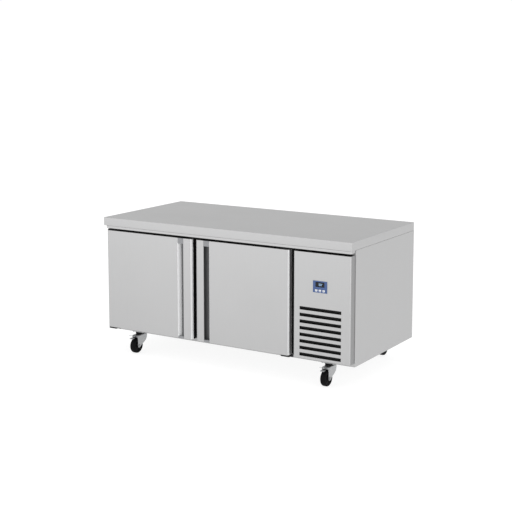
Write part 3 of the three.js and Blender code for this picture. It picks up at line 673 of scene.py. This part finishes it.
def make_compressor():
    """A welded can on a foot plate, its terminal box, and rubber feet under bolts."""
    x0, x1, y0, y1, z0, _ = edges("compressor")
    middle = compressor_foot()
    profile = [
        (0, 22), (60, 22), (80, 24), (90, 34), (95, 60), (96, 112), (100, 113), (101, 116), (100, 119),
        (95, 121), (94, 150), (90, 178), (82, 199), (68, 214), (48, 224), (24, 229), (0, 230),
    ]
    can = Shape().lathe(metres(profile), middle, "z", 48)
    foot_plate = rounded_rectangle((x0, y0 + 21 * MM), (x0 + 220 * MM, y1 - 21 * MM), 18 * MM, 5)
    can.prism(foot_plate, "z", z0 + 17 * MM, z0 + 21 * MM)
    terminal_box = [(2 * MM, z0 + 80 * MM), (0, z0 + 82 * MM), (0, z0 + 137 * MM), (3 * MM, z0 + 140 * MM)]
    can.steps((x1 - 40 * MM, middle[1] - 34 * MM), (x1, middle[1] + 34 * MM), 9 * MM, "z", terminal_box)
    piece("compressor_shell", can, "cabinet", "dark_metal", bevel=0.8 * MM, replaces=["compressor"], angle=45)
    feet, bolts = Shape(), Shape()
    rubber = metres([(5, 0), (13, 0), (13, 5), (10, 7), (13, 9), (13, 17), (5, 17)])
    for dx in (-96, 96):
        for dy in (-64, 64):
            x, y = middle[0] + dx * MM, middle[1] + dy * MM
            feet.lathe(rubber, (x, y, z0), "z", 20)
            bolts.screw((x, y, z0 + 21 * MM), (0, 0, 1), 5 * MM, washer=True)
    piece("compressor_feet", feet, "cabinet", "gasket_rubber")
    piece("compressor_bolts", bolts, "cabinet", "zinc")


def smooth_path(points, steps):
    """Points on a Catmull-Rom curve through the given ones."""
    path = [Vector(p) for p in points]
    path = [path[0] * 2 - path[1], *path, path[-1] * 2 - path[-2]]
    made = []
    for p0, p1, p2, p3 in zip(path, path[1:], path[2:], path[3:]):
        for s in range(steps):
            t = s / steps
            made.append(
                0.5 * (2 * p1 + (p2 - p0) * t + (2 * p0 - 5 * p1 + 4 * p2 - p3) * t * t
                       + (3 * p1 - p0 - 3 * p2 + p3) * t**3))
    return [*made, path[-2]]


def make_pipes():
    """The discharge line keeps the frame's route. The suction and liquid lines are drawn beside it."""
    x, y, z = compressor_foot()

    def line(name, route, radius, sides=12, replaces=()):
        """A bent tube through points in millimetres from the middle of the compressor's underside."""
        path = smooth_path([(x + a * MM, y + b * MM, z + c * MM) for a, b, c in route], 7)
        piece(name, Shape().tube(path, radius, sides), "cabinet", "copper", replaces=replaces)

    discharge = [
        (-98.5, -10, 90), (-122, -14, 100), (-132, -40, 170), (-132, -110, 268), (-124, -190, 356),
        (-118, -270, 366), (-116, -314, 352),
    ]
    line("discharge_line", discharge, 4.6 * MM, replaces=["discharge_pipe"])
    suction = [
        (-60, 76, 150), (-74, 100, 190), (-96, 120, 300), (-120, 128, 420), (-150, 132, 470),
        (-168, 134, 476),
    ]
    line("suction_line", suction, 6.4 * MM)
    drier = [(0, -60), (4, -58), (6, -50), (13, -42), (13, 42), (6, 50), (4, 58), (0, 60)]
    drier_at = (x + 150 * MM, y - 130 * MM, z + 200 * MM)
    piece("filter_drier", Shape().lathe(metres(drier), drier_at, "z", 20), "cabinet", "copper")
    liquid = [(150, -130, 142), (150, -132, 110), (148, -170, 80), (146, -230, 70), (144, -312, 72)]
    line("liquid_line", liquid, 3.2 * MM, 10)


def make_condensing_unit():
    """The machinery bay: tray, condenser, fan, compressor, pipes, pan and electrical box."""
    refined("unit_tray", "zinc", bevel=0.6 * MM)
    make_fin_pack("condenser_coil", 0, 72)
    refined("condenser_fan_shroud", "dark_metal", bevel=0.8 * MM)
    make_fan("condenser_fan", "y", 5, "aluminium")
    make_compressor()
    make_pipes()
    refined("evaporation_pan", "grey_plastic", bevel=1.2 * MM, segments=3)
    refined("electrical_box", "grey_plastic", bevel=1.5 * MM, segments=3)
    _, x1, y0, y1, z0, z1 = edges("electrical_box")
    screws = Shape()
    for y in (y0 + 12 * MM, y1 - 12 * MM):
        for z in (z0 + 12 * MM, z1 - 12 * MM):
            screws.screw((x1, y, z), (1, 0, 0), 3 * MM)
    piece("electrical_box_screws", screws, "cabinet", "zinc")


# ---------------------------------------------------------------- bay cover and controls
# The cover's air slots in millimetres: left and right from its left edge, top from the floor.
AIR_SLOTS = {"left": 42, "right": 322, "top": 480, "pitch": 40.5, "height": 20, "count": 8}


def make_cover():
    """The louvred cover of the compressor bay, with a darker strip over its side return as painted shade, a
    seal and an air filter.
    """
    refined("compressor_cover", "stainless", bevel=0.45 * MM)
    x0, x1, y0, y1, z0, z1 = edges("compressor_cover")
    # A thin strip over the cover's side return, in the darker steel: painted shade beside the side panel.
    inner, outer = x1 - 0.2 * MM, x1 + 0.6 * MM
    corners = [(inner, y0 + 7 * MM), (outer, y0 + 8 * MM), (outer, y1), (inner, y1)]
    shade_strip = Shape().prism(fillet(corners, [0, 0.3 * MM, 0.3 * MM, 0]), "z", z0 + 0.5 * MM, z1 - 0.5 * MM)
    piece("cover_painted_shade_strip", shade_strip, "cabinet", "stainless", "painted_shade_strip")
    # A black seal on the cover's top, which also stands in for the shade in the gap under the rail: partly
    # painted shade.
    seal = Shape().steps(
        (x0 + 2 * MM, y0 + 1.6 * MM), (x1 - 4 * MM, y1 - 4 * MM), 6 * MM, "z",
        [(0.3 * MM, z1 - 0.3 * MM), (0, z1), (0, z1 + 0.4 * MM), (0.5 * MM, z1 + 0.8 * MM)])
    piece("cover_top_seal", seal, "cabinet", "gasket_rubber")
    make_slot_blades(x0, y0)
    make_air_filter(x0, y0, z0)


def make_slot_blades(x0, y0):
    """A blade in each air slot, leaning down towards the back. The blades are stainless but take the black
    look: painted shade in the slots.
    """
    blades = Shape()
    left, right = x0 + AIR_SLOTS["left"] * MM, x0 + AIR_SLOTS["right"] * MM
    for i in range(AIR_SLOTS["count"]):
        high = (AIR_SLOTS["top"] - AIR_SLOTS["pitch"] * i) * MM
        low = high - AIR_SLOTS["height"] * MM
        section = [
            (y0 + 1.0 * MM, high + 0.2 * MM), (y0 + 1.9 * MM, high + 0.4 * MM),
            (y0 + 15 * MM, low + 1 * MM), (y0 + 14.2 * MM, low + 0.2 * MM),
        ]
        blades.prism(section, "x", left, right)
    # Black look on stainless blades: painted shade in the slots.
    piece("cover_louvre_blades", blades, "cabinet", "stainless", "black_plastic")


def make_air_filter(x0, y0, z0):
    """Crossed bars before a dark sheet, behind the air slots. The dark sheet is painted shade, standing for
    the dark inside of the bay.
    """
    bar = 1.4 * MM
    left, right = x0 + 40 * MM, x0 + 326 * MM
    low, high = z0 + 12 * MM, z0 + 325 * MM
    front, middle, back = y0 + 20 * MM, y0 + 21.4 * MM, y0 + 22.8 * MM
    screen = Shape()
    for i in range(31):
        x = left + 9.5 * MM * i
        screen.block((x, front, low), (x + bar, middle, high))
    for i in range(33):
        z = low + 9.7 * MM * i
        screen.block((left, middle, z), (right, back, z + bar))
    # A solid dark sheet behind the filter: painted shade for the inside of the bay.
    screen.block((x0 + 36 * MM, y0 + 24 * MM, z0 + 8 * MM), (x0 + 330 * MM, y0 + 26 * MM, z0 + 330 * MM))
    piece("air_filter", screen, "cabinet", "black_plastic")


# Where a digit's bars sit from its middle, in widths and half heights. Bars at either side stand upright.
BARS = {
    "top": (0, 1), "mid": (0, 0), "bottom": (0, -1),
    "upper_right": (1, 0.5), "lower_right": (1, -0.5), "upper_left": (-1, 0.5), "lower_left": (-1, -0.5),
}
DIGITS = {"3": ("top", "mid", "bottom", "upper_right", "lower_right"), "8": tuple(BARS)}


def seven_segment(shape, digit, x, z, y, size):
    """Bars of one digit, size high, centred on x and z."""
    w, h, t = size * 0.27, size / 2, size * 0.07
    for name in DIGITS[digit]:
        across, up = BARS[name]
        a, b = x + across * w, z + up * h
        wide, tall = (t, h / 2 - t * 1.2) if across else (w - t * 1.2, t)
        shape.block((a - wide, y, b - tall), (a + wide, y + 0.1 * MM, b + tall))


def make_display(x0, x1, y0, z1):
    """The controller's dark glass with a bezel round it, and two lit digits and a point on it."""
    middle, half_width = (x0 + x1) / 2, 30 * MM
    z_low, z_high = z1 - 34 * MM, z1 - 10 * MM
    screen_z, border = (z_low + z_high) / 2, 3 * MM
    refined("controller", "black_plastic", "display_glass", bevel=0.4 * MM)
    bezel = Shape().steps(
        (middle - half_width, z_low - border), (middle + half_width, z_high + border), 3 * MM, "y",
        [(0, y0), (0.3 * MM, y0 - 0.5 * MM), (2.2 * MM, y0 - 0.5 * MM), (2.7 * MM, y0)], closed=True)
    piece("display_bezel", bezel, "cabinet", "black_plastic")
    digits = Shape()
    y = edges("controller")[2] - 0.12 * MM
    for digit, shift in (("3", -6), ("8", 6)):
        seven_segment(digits, digit, middle + shift * MM, screen_z, y, 12 * MM)
    digits.block(
        (middle + 15 * MM, y, screen_z + 4 * MM), (middle + 17 * MM, y + 0.1 * MM, screen_z + 6 * MM))
    piece("display_digits", digits, "cabinet", "key_plastic", "display_glow")


def make_key(name):
    """A domed cap and its icon: a ring for set, and an arrowhead for up and down."""
    node = f"key_{name}"
    x0, x1, y0, y1, z0, z1 = edges(node)
    dome = [
        (1.2 * MM, y1), (0.2 * MM, y1 - 1 * MM), (0, y0 + 1.2 * MM), (0.3 * MM, y0 + 0.4 * MM), (1 * MM, y0),
    ]
    cap = Shape().steps((x0, z0), (x1, z1), 2 * MM, "y", dome)
    piece(f"{node}_cap", cap, body_of(node), "key_plastic", replaces=[node])
    x, z = (x0 + x1) / 2, (z0 + z1) / 2
    icon = Shape()
    if name == "set":
        r = 2.3 * MM
        ring = [(x + r * math.cos(t), y0, z + r * math.sin(t)) for t in circle(20)]
        icon.tube(ring, 0.35 * MM, 6, closed=True)
    else:
        tip = 2.4 * MM if name == "up" else -2.4 * MM
        low = z - tip * 0.7
        icon.prism([(x - 3 * MM, low), (x + 3 * MM, low), (x, z + tip)], "y", y0 - 0.2 * MM, y0 + 0.1 * MM)
    piece(f"{node}_icon", icon, body_of(node), "blue_plate")


def make_controls():
    """The blue plate with its display, printed marks and keys."""
    refined("control_plate", "blue_plate", bevel=0.5 * MM, segments=3)
    x0, x1, y0, _, z0, z1 = edges("control_plate")
    make_display(x0, x1, y0, z1)
    marks = Shape()
    for shift in (-25 * MM, 0, 25 * MM):
        x = (x0 + x1) / 2 + shift
        marks.block((x - 7 * MM, y0 - 0.12 * MM, z0 + 5 * MM), (x + 7 * MM, y0, z0 + 6.6 * MM))
    piece("plate_marks", marks, "cabinet", "key_plastic", "print")
    for name in ("set", "down", "up"):
        make_key(name)


# ---------------------------------------------------------------- doors
DOOR_CORNER = 12 * MM


def flatness(turn):
    """How far a round corner is drawn in towards a chamfer, turn radians from the front."""
    return 0.3 + 0.7 * math.sqrt(0.5) / math.cos(turn - math.pi / 4)


def chamfered(turn, offset):
    """A point of the door's flattened corner, from the corner of the square round it."""
    radius = DOOR_CORNER * flatness(turn) + offset
    return radius * math.sin(turn) - DOOR_CORNER, DOOR_CORNER - radius * math.cos(turn)


def flatten_corners(mesh, x0, x1, y0):
    """Draws the door's round front corners in towards a chamfer, which catches more light."""
    for vertex in mesh.vertices:
        out = DOOR_CORNER - min(vertex.co.x - x0, x1 - vertex.co.x)
        front = DOOR_CORNER - (vertex.co.y - y0)
        if out > 1e-6 and front > 1e-6:
            share = flatness(math.atan2(out, front))
            sign = -1 if vertex.co.x < (x0 + x1) / 2 else 1
            edge = (x0 if sign < 0 else x1) - sign * DOOR_CORNER
            vertex.co.x = edge + sign * out * share
            vertex.co.y = y0 + DOOR_CORNER - front * share


def make_door(side):
    """Drawn from the hinge-side bottom front corner; the right door is a mirror image of the left."""
    body = f"door_{side}"
    x0, x1, y0, _, z0, z1 = edges(f"{body}_skin")
    width, height = x1 - x0, z1 - z0
    if side == "left":
        place = Matrix.Translation((x0, y0, z0))
    else:
        place = Matrix.Translation((x1, y0, z0)) @ Matrix.Scale(-1, 4, (1, 0, 0))
    for node, slot in ((f"{body}_skin", "stainless"), (f"{body}_core", "foam")):
        part = refined(node, slot, bevel=0.6 * MM)
        flatten_corners(part.data, x0, x1, y0)
    make_handle(body, place, width, height)
    make_door_edges(body, place, width, height)
    make_liner_pan(body, place, width, height, y0)
    make_gasket(body, place, width, height, y0)


def make_door_edges(body, place, width, height):
    """Dark strips on the top and free edges, which also stand in for the shade in the gaps round the door
    (partly painted shade), trims on both front corners that are lighter partly as a painted highlight, and a
    near-white strip beside them as a painted highlight.
    """
    low, high = 2 * MM, height - 2 * MM
    # Black strips, real edging that also stands in for the shade in the gaps above and between the doors:
    # partly painted shade.
    strips = Shape(place)
    strips.steps(
        (3 * MM, 1.6 * MM), (width - 3 * MM, 33 * MM), 14 * MM, "z",
        [(0.3 * MM, height - 0.3 * MM), (0, height), (0, height + 0.3 * MM), (0.4 * MM, height + 0.6 * MM)])
    strips.block((width - 0.6 * MM, 22.5 * MM, low), (width + 0.3 * MM, 44.5 * MM, high))
    piece(f"{body}_edge_strips", strips, body, "gasket_rubber")

    # The corner trims are light partly for their own colour and partly as a painted highlight on the
    # chamfers.
    trims = Shape(place)
    for free in (True, False):
        start = 25 if free else 32
        turns = [math.radians(start + (90 - start) * i / 6) for i in range(7)]
        outer = [chamfered(turn, 0.25 * MM) for turn in turns]
        inner = [chamfered(turn, -0.3 * MM) for turn in turns]
        outline = [*outer, (0.25 * MM, 13 * MM), (-0.3 * MM, 13 * MM), *reversed(inner)]
        trims.prism([(width + u if free else -u, y) for u, y in outline], "z", low, high)
    piece(f"{body}_corner_trims_painted_highlight", trims, body, "aluminium", "corner_trim_painted_highlight")
    # A near-white strip on the free edge's side: painted highlight.
    edge_painted_highlight = Shape(place).block((width - 0.3 * MM, 13.2 * MM, low), (width + 0.3 * MM, 22.4 * MM, high))
    piece(f"{body}_edge_painted_highlight", edge_painted_highlight, body, "aluminium", "painted_highlight_trim")


def make_liner_pan(body, place, width, height, y0):
    """The door's inner sheet: a flat rim, a step with steep walls, and a shallow dish in its middle."""
    _, _, liner_y0, liner_y1, _, _ = edges(f"{body}_liner")
    front, high = (liner_y0 - y0) / MM, (liner_y1 - y0) / MM
    flat = (edges(f"{body}_gasket")[2] - y0 - 0.3 * MM) / MM
    sections = [  # inset from the sides, inset from the top and bottom, and depth, all in millimetres
        (0.5, 0.5, front), (0.5, 0.5, flat - 0.8), (1.3, 1.3, flat), (58, 44, flat), (60.5, 46.5, flat + 0.8),
        (61.6, 47.6, flat + 2.4), (62.3, 48.3, high - 3), (63.2, 49.2, high - 1.2), (65, 51, high - 0.3),
        (67.5, 53.5, high), (92, 78, high), (94.5, 80.5, high - 0.5), (97, 83, high - 0.8),
    ]
    rings = []
    for across, up, y in sections:
        radius = (5 if across < 90 else 12) * MM
        lo, hi = (across * MM, up * MM), (width - across * MM, height - up * MM)
        rings.append([lay("y", u, v, y * MM) for u, v in rounded_rectangle(lo, hi, radius)])
    pan = Shape(place).loft(rings)
    piece(f"{body}_liner_pan", pan, body, "stainless", "liner", replaces=[f"{body}_liner"])


def make_gasket(body, place, width, height, y0):
    """A magnetic seal whose section has a flat foot, two folds and a round head."""
    _, _, gasket_y0, gasket_y1, _, _ = edges(f"{body}_gasket")
    front, rear = gasket_y0 - y0, gasket_y1 - y0
    inset = 17 * MM
    section = [
        (0.5, 0.0), (16.5, 0.0), (16.5, 1.6), (12.5, 2.4), (14.8, 4.4), (12.8, 6.0), (15.4, 7.6), (16.4, 9.2),
        (16, 11.2), (14, 11.7), (3.5, 11.7), (1.2, 11.0), (0.6, 9.2), (1.6, 7.6), (4.2, 6.0), (2.2, 4.4),
        (4.5, 2.4), (0.5, 1.6),
    ]
    profile = [(a * MM, min(front + b * MM, rear)) for a, b in section]
    seal = Shape(place).steps(
        (inset, inset), (width - inset, height - inset), 2 * MM, "y", profile, closed=True, arc=2)
    piece(f"{body}_gasket_bellows", seal, body, "gasket_rubber", replaces=[f"{body}_gasket"])


def make_handle(body, place, width, height):
    """A finger-pull channel with a hook behind its free-edge lip, and a plug in each end. The channel is
    dark, painted shade in the recess; its hinge-side wall is near-white, a painted highlight.
    """
    a, b = width / MM - 106, width / MM - 61
    channel = [
        (a + 14, 26), (b + 17, 26), (b + 17, 4.3), (b - 1.8, 4.3), (b - 1.8, 0), (b - 0.3, 0), (b - 0.3, 1.5),
        (b + 20, 1.5), (b + 20, 28), (a + 14, 28),
    ]
    wall = [(a + 0.3, 0.3), (a + 1.6, 0.3), (a + 14, 26), (a + 14, 28), (a + 6, 28), (a + 0.3, 5.2)]
    # The channel takes the near-black look, painted shade in the recess; the wall takes the near-white one, a
    # painted highlight.
    for name, corners, radii, look in (
        ("channel", channel, [0, 5, 3, 0.9, 0.5, 0.4, 0, 0.3, 2, 0], "painted_shade_channel"),
        ("wall", wall, [0.3, 0.6, 0, 0, 2, 0.3], "painted_highlight_trim"),
    ):
        outline = fillet(metres(corners), [radius * MM for radius in radii], 5)
        part = Shape(place).prism(outline, "z", 1.5 * MM, height - 1.5 * MM)
        replaced = [f"{body}_handle"] if name == "channel" else []
        piece(f"{body}_handle_{name}", part, body, "aluminium", look, replaces=replaced, angle=30)
    cap = metres([(3, 24), (0.4, 4), (0, 1.2), (0.3, 0.5), (0.9, 0.3)])
    for name, low, high in (("bottom", 0.2 * MM, 14 * MM), ("top", height - 36 * MM, height - 0.2 * MM)):
        plug = Shape(place).steps(((a + 0.5) * MM, low), ((b - 0.5) * MM, high), 1.5 * MM, "y", cap)
        piece(f"{body}_handle_plug_{name}", plug, body, "grey_plastic", "cap_plastic")


def make_hinges():
    """Four brackets, each with two screws."""
    screws = Shape()
    for side in ("left", "right"):
        for level in ("upper", "lower"):
            node = f"hinge_{level}_{side}"
            refined(node, "hinge_metal", bevel=0.6 * MM)
            x0, x1, _, y1, z0, z1 = edges(node)
            z = z0 + 8 * MM if level == "lower" else z1 - 9 * MM
            for t in (0.3, 0.7):
                screws.screw((x0 + (x1 - x0) * t, y1 - 4 * MM, z), (0, -1, 0), 3 * MM)
    piece("hinge_screws", screws, "cabinet", "hinge_metal")


# ---------------------------------------------------------------- casters
WHEEL_CENTRE = (0, -42 * MM, 50 * MM)  # from the swivel axis at floor level
PEDAL_PIN = (0, -46 * MM, 108 * MM)
CHEEK = (21, 24)  # inner and outer faces of the fork's cheeks, in millimetres
FOOT = [  # the cheeks' lower edge in millimetres, from behind the axle to the other end of the crown
    (-55, 50), (-54.2, 45), (-51.5, 40.8), (-47, 37.9), (-42, 37), (-37, 37.7), (-32, 40.5), (-27, 44),
    (-19, 49.5), (-9, 55.5), (5, 61), (19, 68), (30, 76.5), (37, 85), (41.5, 95), (44, 106),
]


def make_caster(corner):
    """Drawn round the swivel axis at floor level, with the wheel trailing towards -y."""
    pivot = pivot_of(f"caster_{corner}_swivel")
    place = Matrix.Translation((pivot.x, pivot.y, 0))
    if corner.startswith("rear"):
        place = place @ Matrix.Rotation(math.pi, 4, "Z")
    top = edges(f"caster_{corner}_plate")[5]
    make_swivel_plate(corner, place, top)
    make_fork(corner, place, top / MM - 18)
    make_tyre(corner, place)
    if corner in BRAKED:
        make_pedal(corner, place)


def make_swivel_plate(corner, place, top):
    """The bolted plate and the sealed bearing under it. The black seal is drawn tall, partly standing in for
    the shade under the plate: painted shade.
    """
    plate = Shape(place).steps(
        (-45 * MM, -30 * MM), (45 * MM, 30 * MM), 8 * MM, "z",
        [(0.6 * MM, top - 3 * MM), (0, top - 2.4 * MM), (0, top - 0.6 * MM), (0.6 * MM, top)])
    for sx in (-1, 1):
        for sy in (-1, 1):
            plate.screw((sx * 37 * MM, sy * 21 * MM, top - 3 * MM), (0, 0, -1), 5 * MM, washer=True)
    piece(f"caster_{corner}_top_plate", plate, "cabinet", "caster_metal", replaces=[f"caster_{corner}_plate"])
    # A tall black seal: real rubber, and partly painted shade under the plate.
    race = [
        (0, -2.9), (30, -2.9), (30.6, -4), (30.6, -7), (28.5, -9), (28.5, -14), (27, -17.4), (6, -17.4),
        (6, -23.6), (0, -23.6),
    ]
    seal = Shape(place).lathe([(r * MM, top + h * MM) for r, h in race], (0, 0, 0), "z", 40)
    piece(f"caster_{corner}_race", seal, "cabinet", "gasket_rubber")


def make_tyre(corner, place):
    """A moulded wheel with five ribs on each face."""
    profile = [
        (5.8, -19.5), (11, -19.5), (12.5, -18), (13.5, -14.5), (20, -13.2), (33, -13.2), (36.5, -16.4),
        (38, -17.4), (42, -18), (46, -17), (48.8, -14), (50, -9.5),
    ]
    profile += [(radius, -across) for radius, across in reversed(profile)]
    tyre = Shape(place).lathe(metres(profile), WHEEL_CENTRE, "x", 56)
    for turn in circle(5):
        out = Vector((0, math.cos(turn), math.sin(turn)))
        for x in (-12.6 * MM, 12.6 * MM):
            face = Vector((x, *WHEEL_CENTRE[1:]))
            tyre.rod(face + out * 13 * MM, face + out * 35 * MM, 2 * MM, 8)
    piece(
        f"caster_{corner}_tyre", tyre, f"caster_{corner}_roller", "caster_tyre",
        replaces=[f"caster_{corner}_wheel"], angle=50)


def make_fork(corner, place, crown):
    """One pressing bent over at the crown, with a bolt for the wheel."""
    inner, outer = CHEEK
    rings = []
    for y, low in FOOT:
        outside = [
            (outer, low), (outer, crown - 7), (outer - 0.8, crown - 3.4), (outer - 3, crown - 1),
            (outer - 7, crown),
        ]
        inside = [(inner, low), (inner, crown - 7.6), (inner - 1, crown - 4.6), (inner - 4, crown - 3)]
        ring = outside + [(-x, z) for x, z in reversed(outside)]
        ring += [(-x, z) for x, z in inside] + list(reversed(inside))
        rings.append([(x * MM, y * MM, z * MM) for x, z in ring])
    fork = Shape(place).loft(rings)
    seat = [(8, -0.2), (28.5, -0.2), (29, -0.8), (29, -1.8), (8, -1.8)]
    fork.lathe([(r * MM, (crown + h) * MM) for r, h in seat], (0, 0, 0), "z", 36)

    def turned(profile, centre, sides):
        """The same boss on the outside of both cheeks. Heights are from the cheek's face."""
        for s in (-1, 1):
            fork.lathe([(r * MM, s * (outer + h) * MM) for r, h in profile], centre, "x", sides)

    turned([(0, 0), (10, 0), (10, 1.2), (0, 1.2)], WHEEL_CENTRE, 24)
    turned([(0, 1.2), (8.4, 1.2), (8.4, 5.2), (7.4, 6.2), (0, 6.2)], WHEEL_CENTRE, 6)
    reach = (outer + 7.6) * MM
    fork.rod((-reach, *WHEEL_CENTRE[1:]), (reach, *WHEEL_CENTRE[1:]), 4.6 * MM, 16)
    if corner in BRAKED:
        turned([(0, -0.4), (4, -0.4), (4, 1.4), (3, 2), (0, 2)], PEDAL_PIN, 16)
    piece(
        f"caster_{corner}_pressed_fork", fork, f"caster_{corner}_swivel", "caster_metal", bevel=0.5 * MM,
        replaces=[f"caster_{corner}_fork"])


def make_pedal(corner, place):
    """Two pressed toe plates on one sleeve: the upper frees the wheel, and the lower locks it."""
    pedal = Shape(place)
    pedal.lathe(metres([(3, -20), (6, -20), (6, 20), (3, 20)]), PEDAL_PIN, "x", 20)
    for turn, length, width in ((-0.34, 65.2, 30), (0.07, 56, 26)):
        pedal.place = place @ Matrix.Translation(PEDAL_PIN) @ Matrix.Rotation(turn, 4, "X")
        half, reach, waist = width / 2 * MM, length * MM, width / 2 * 0.62 * MM
        left = [(-waist, -4 * MM), (-waist, -reach * 0.45), (-half, -reach * 0.6), (-half, -reach)]
        right = [(-x, y) for x, y in reversed(left)]
        radii = [radius * MM for radius in (0, 6, 5, 5, 5, 5, 6, 0)]
        pedal.prism(fillet(left + right, radii), "z", -1.4 * MM, 0.9 * MM)
        for k in range(4):
            y = -reach * 0.68 - k * 4.2 * MM
            pedal.rod((-half + 3 * MM, y, 0.9 * MM), (half - 3 * MM, y, 0.9 * MM), 0.85 * MM, 8)
    piece(
        f"caster_{corner}_toe_plates", pedal, f"caster_{corner}_brake", "caster_metal", bevel=0.4 * MM,
        replaces=[f"caster_{corner}_pedal"])


# ---------------------------------------------------------------- everything
make_camera()
make_studio()
make_floor()
make_casing()
make_cold_space()
make_condensing_unit()
make_cover()
make_controls()
for door_side in ("left", "right"):
    make_door(door_side)
make_hinges()
for caster_corner in CORNERS:
    make_caster(caster_corner)
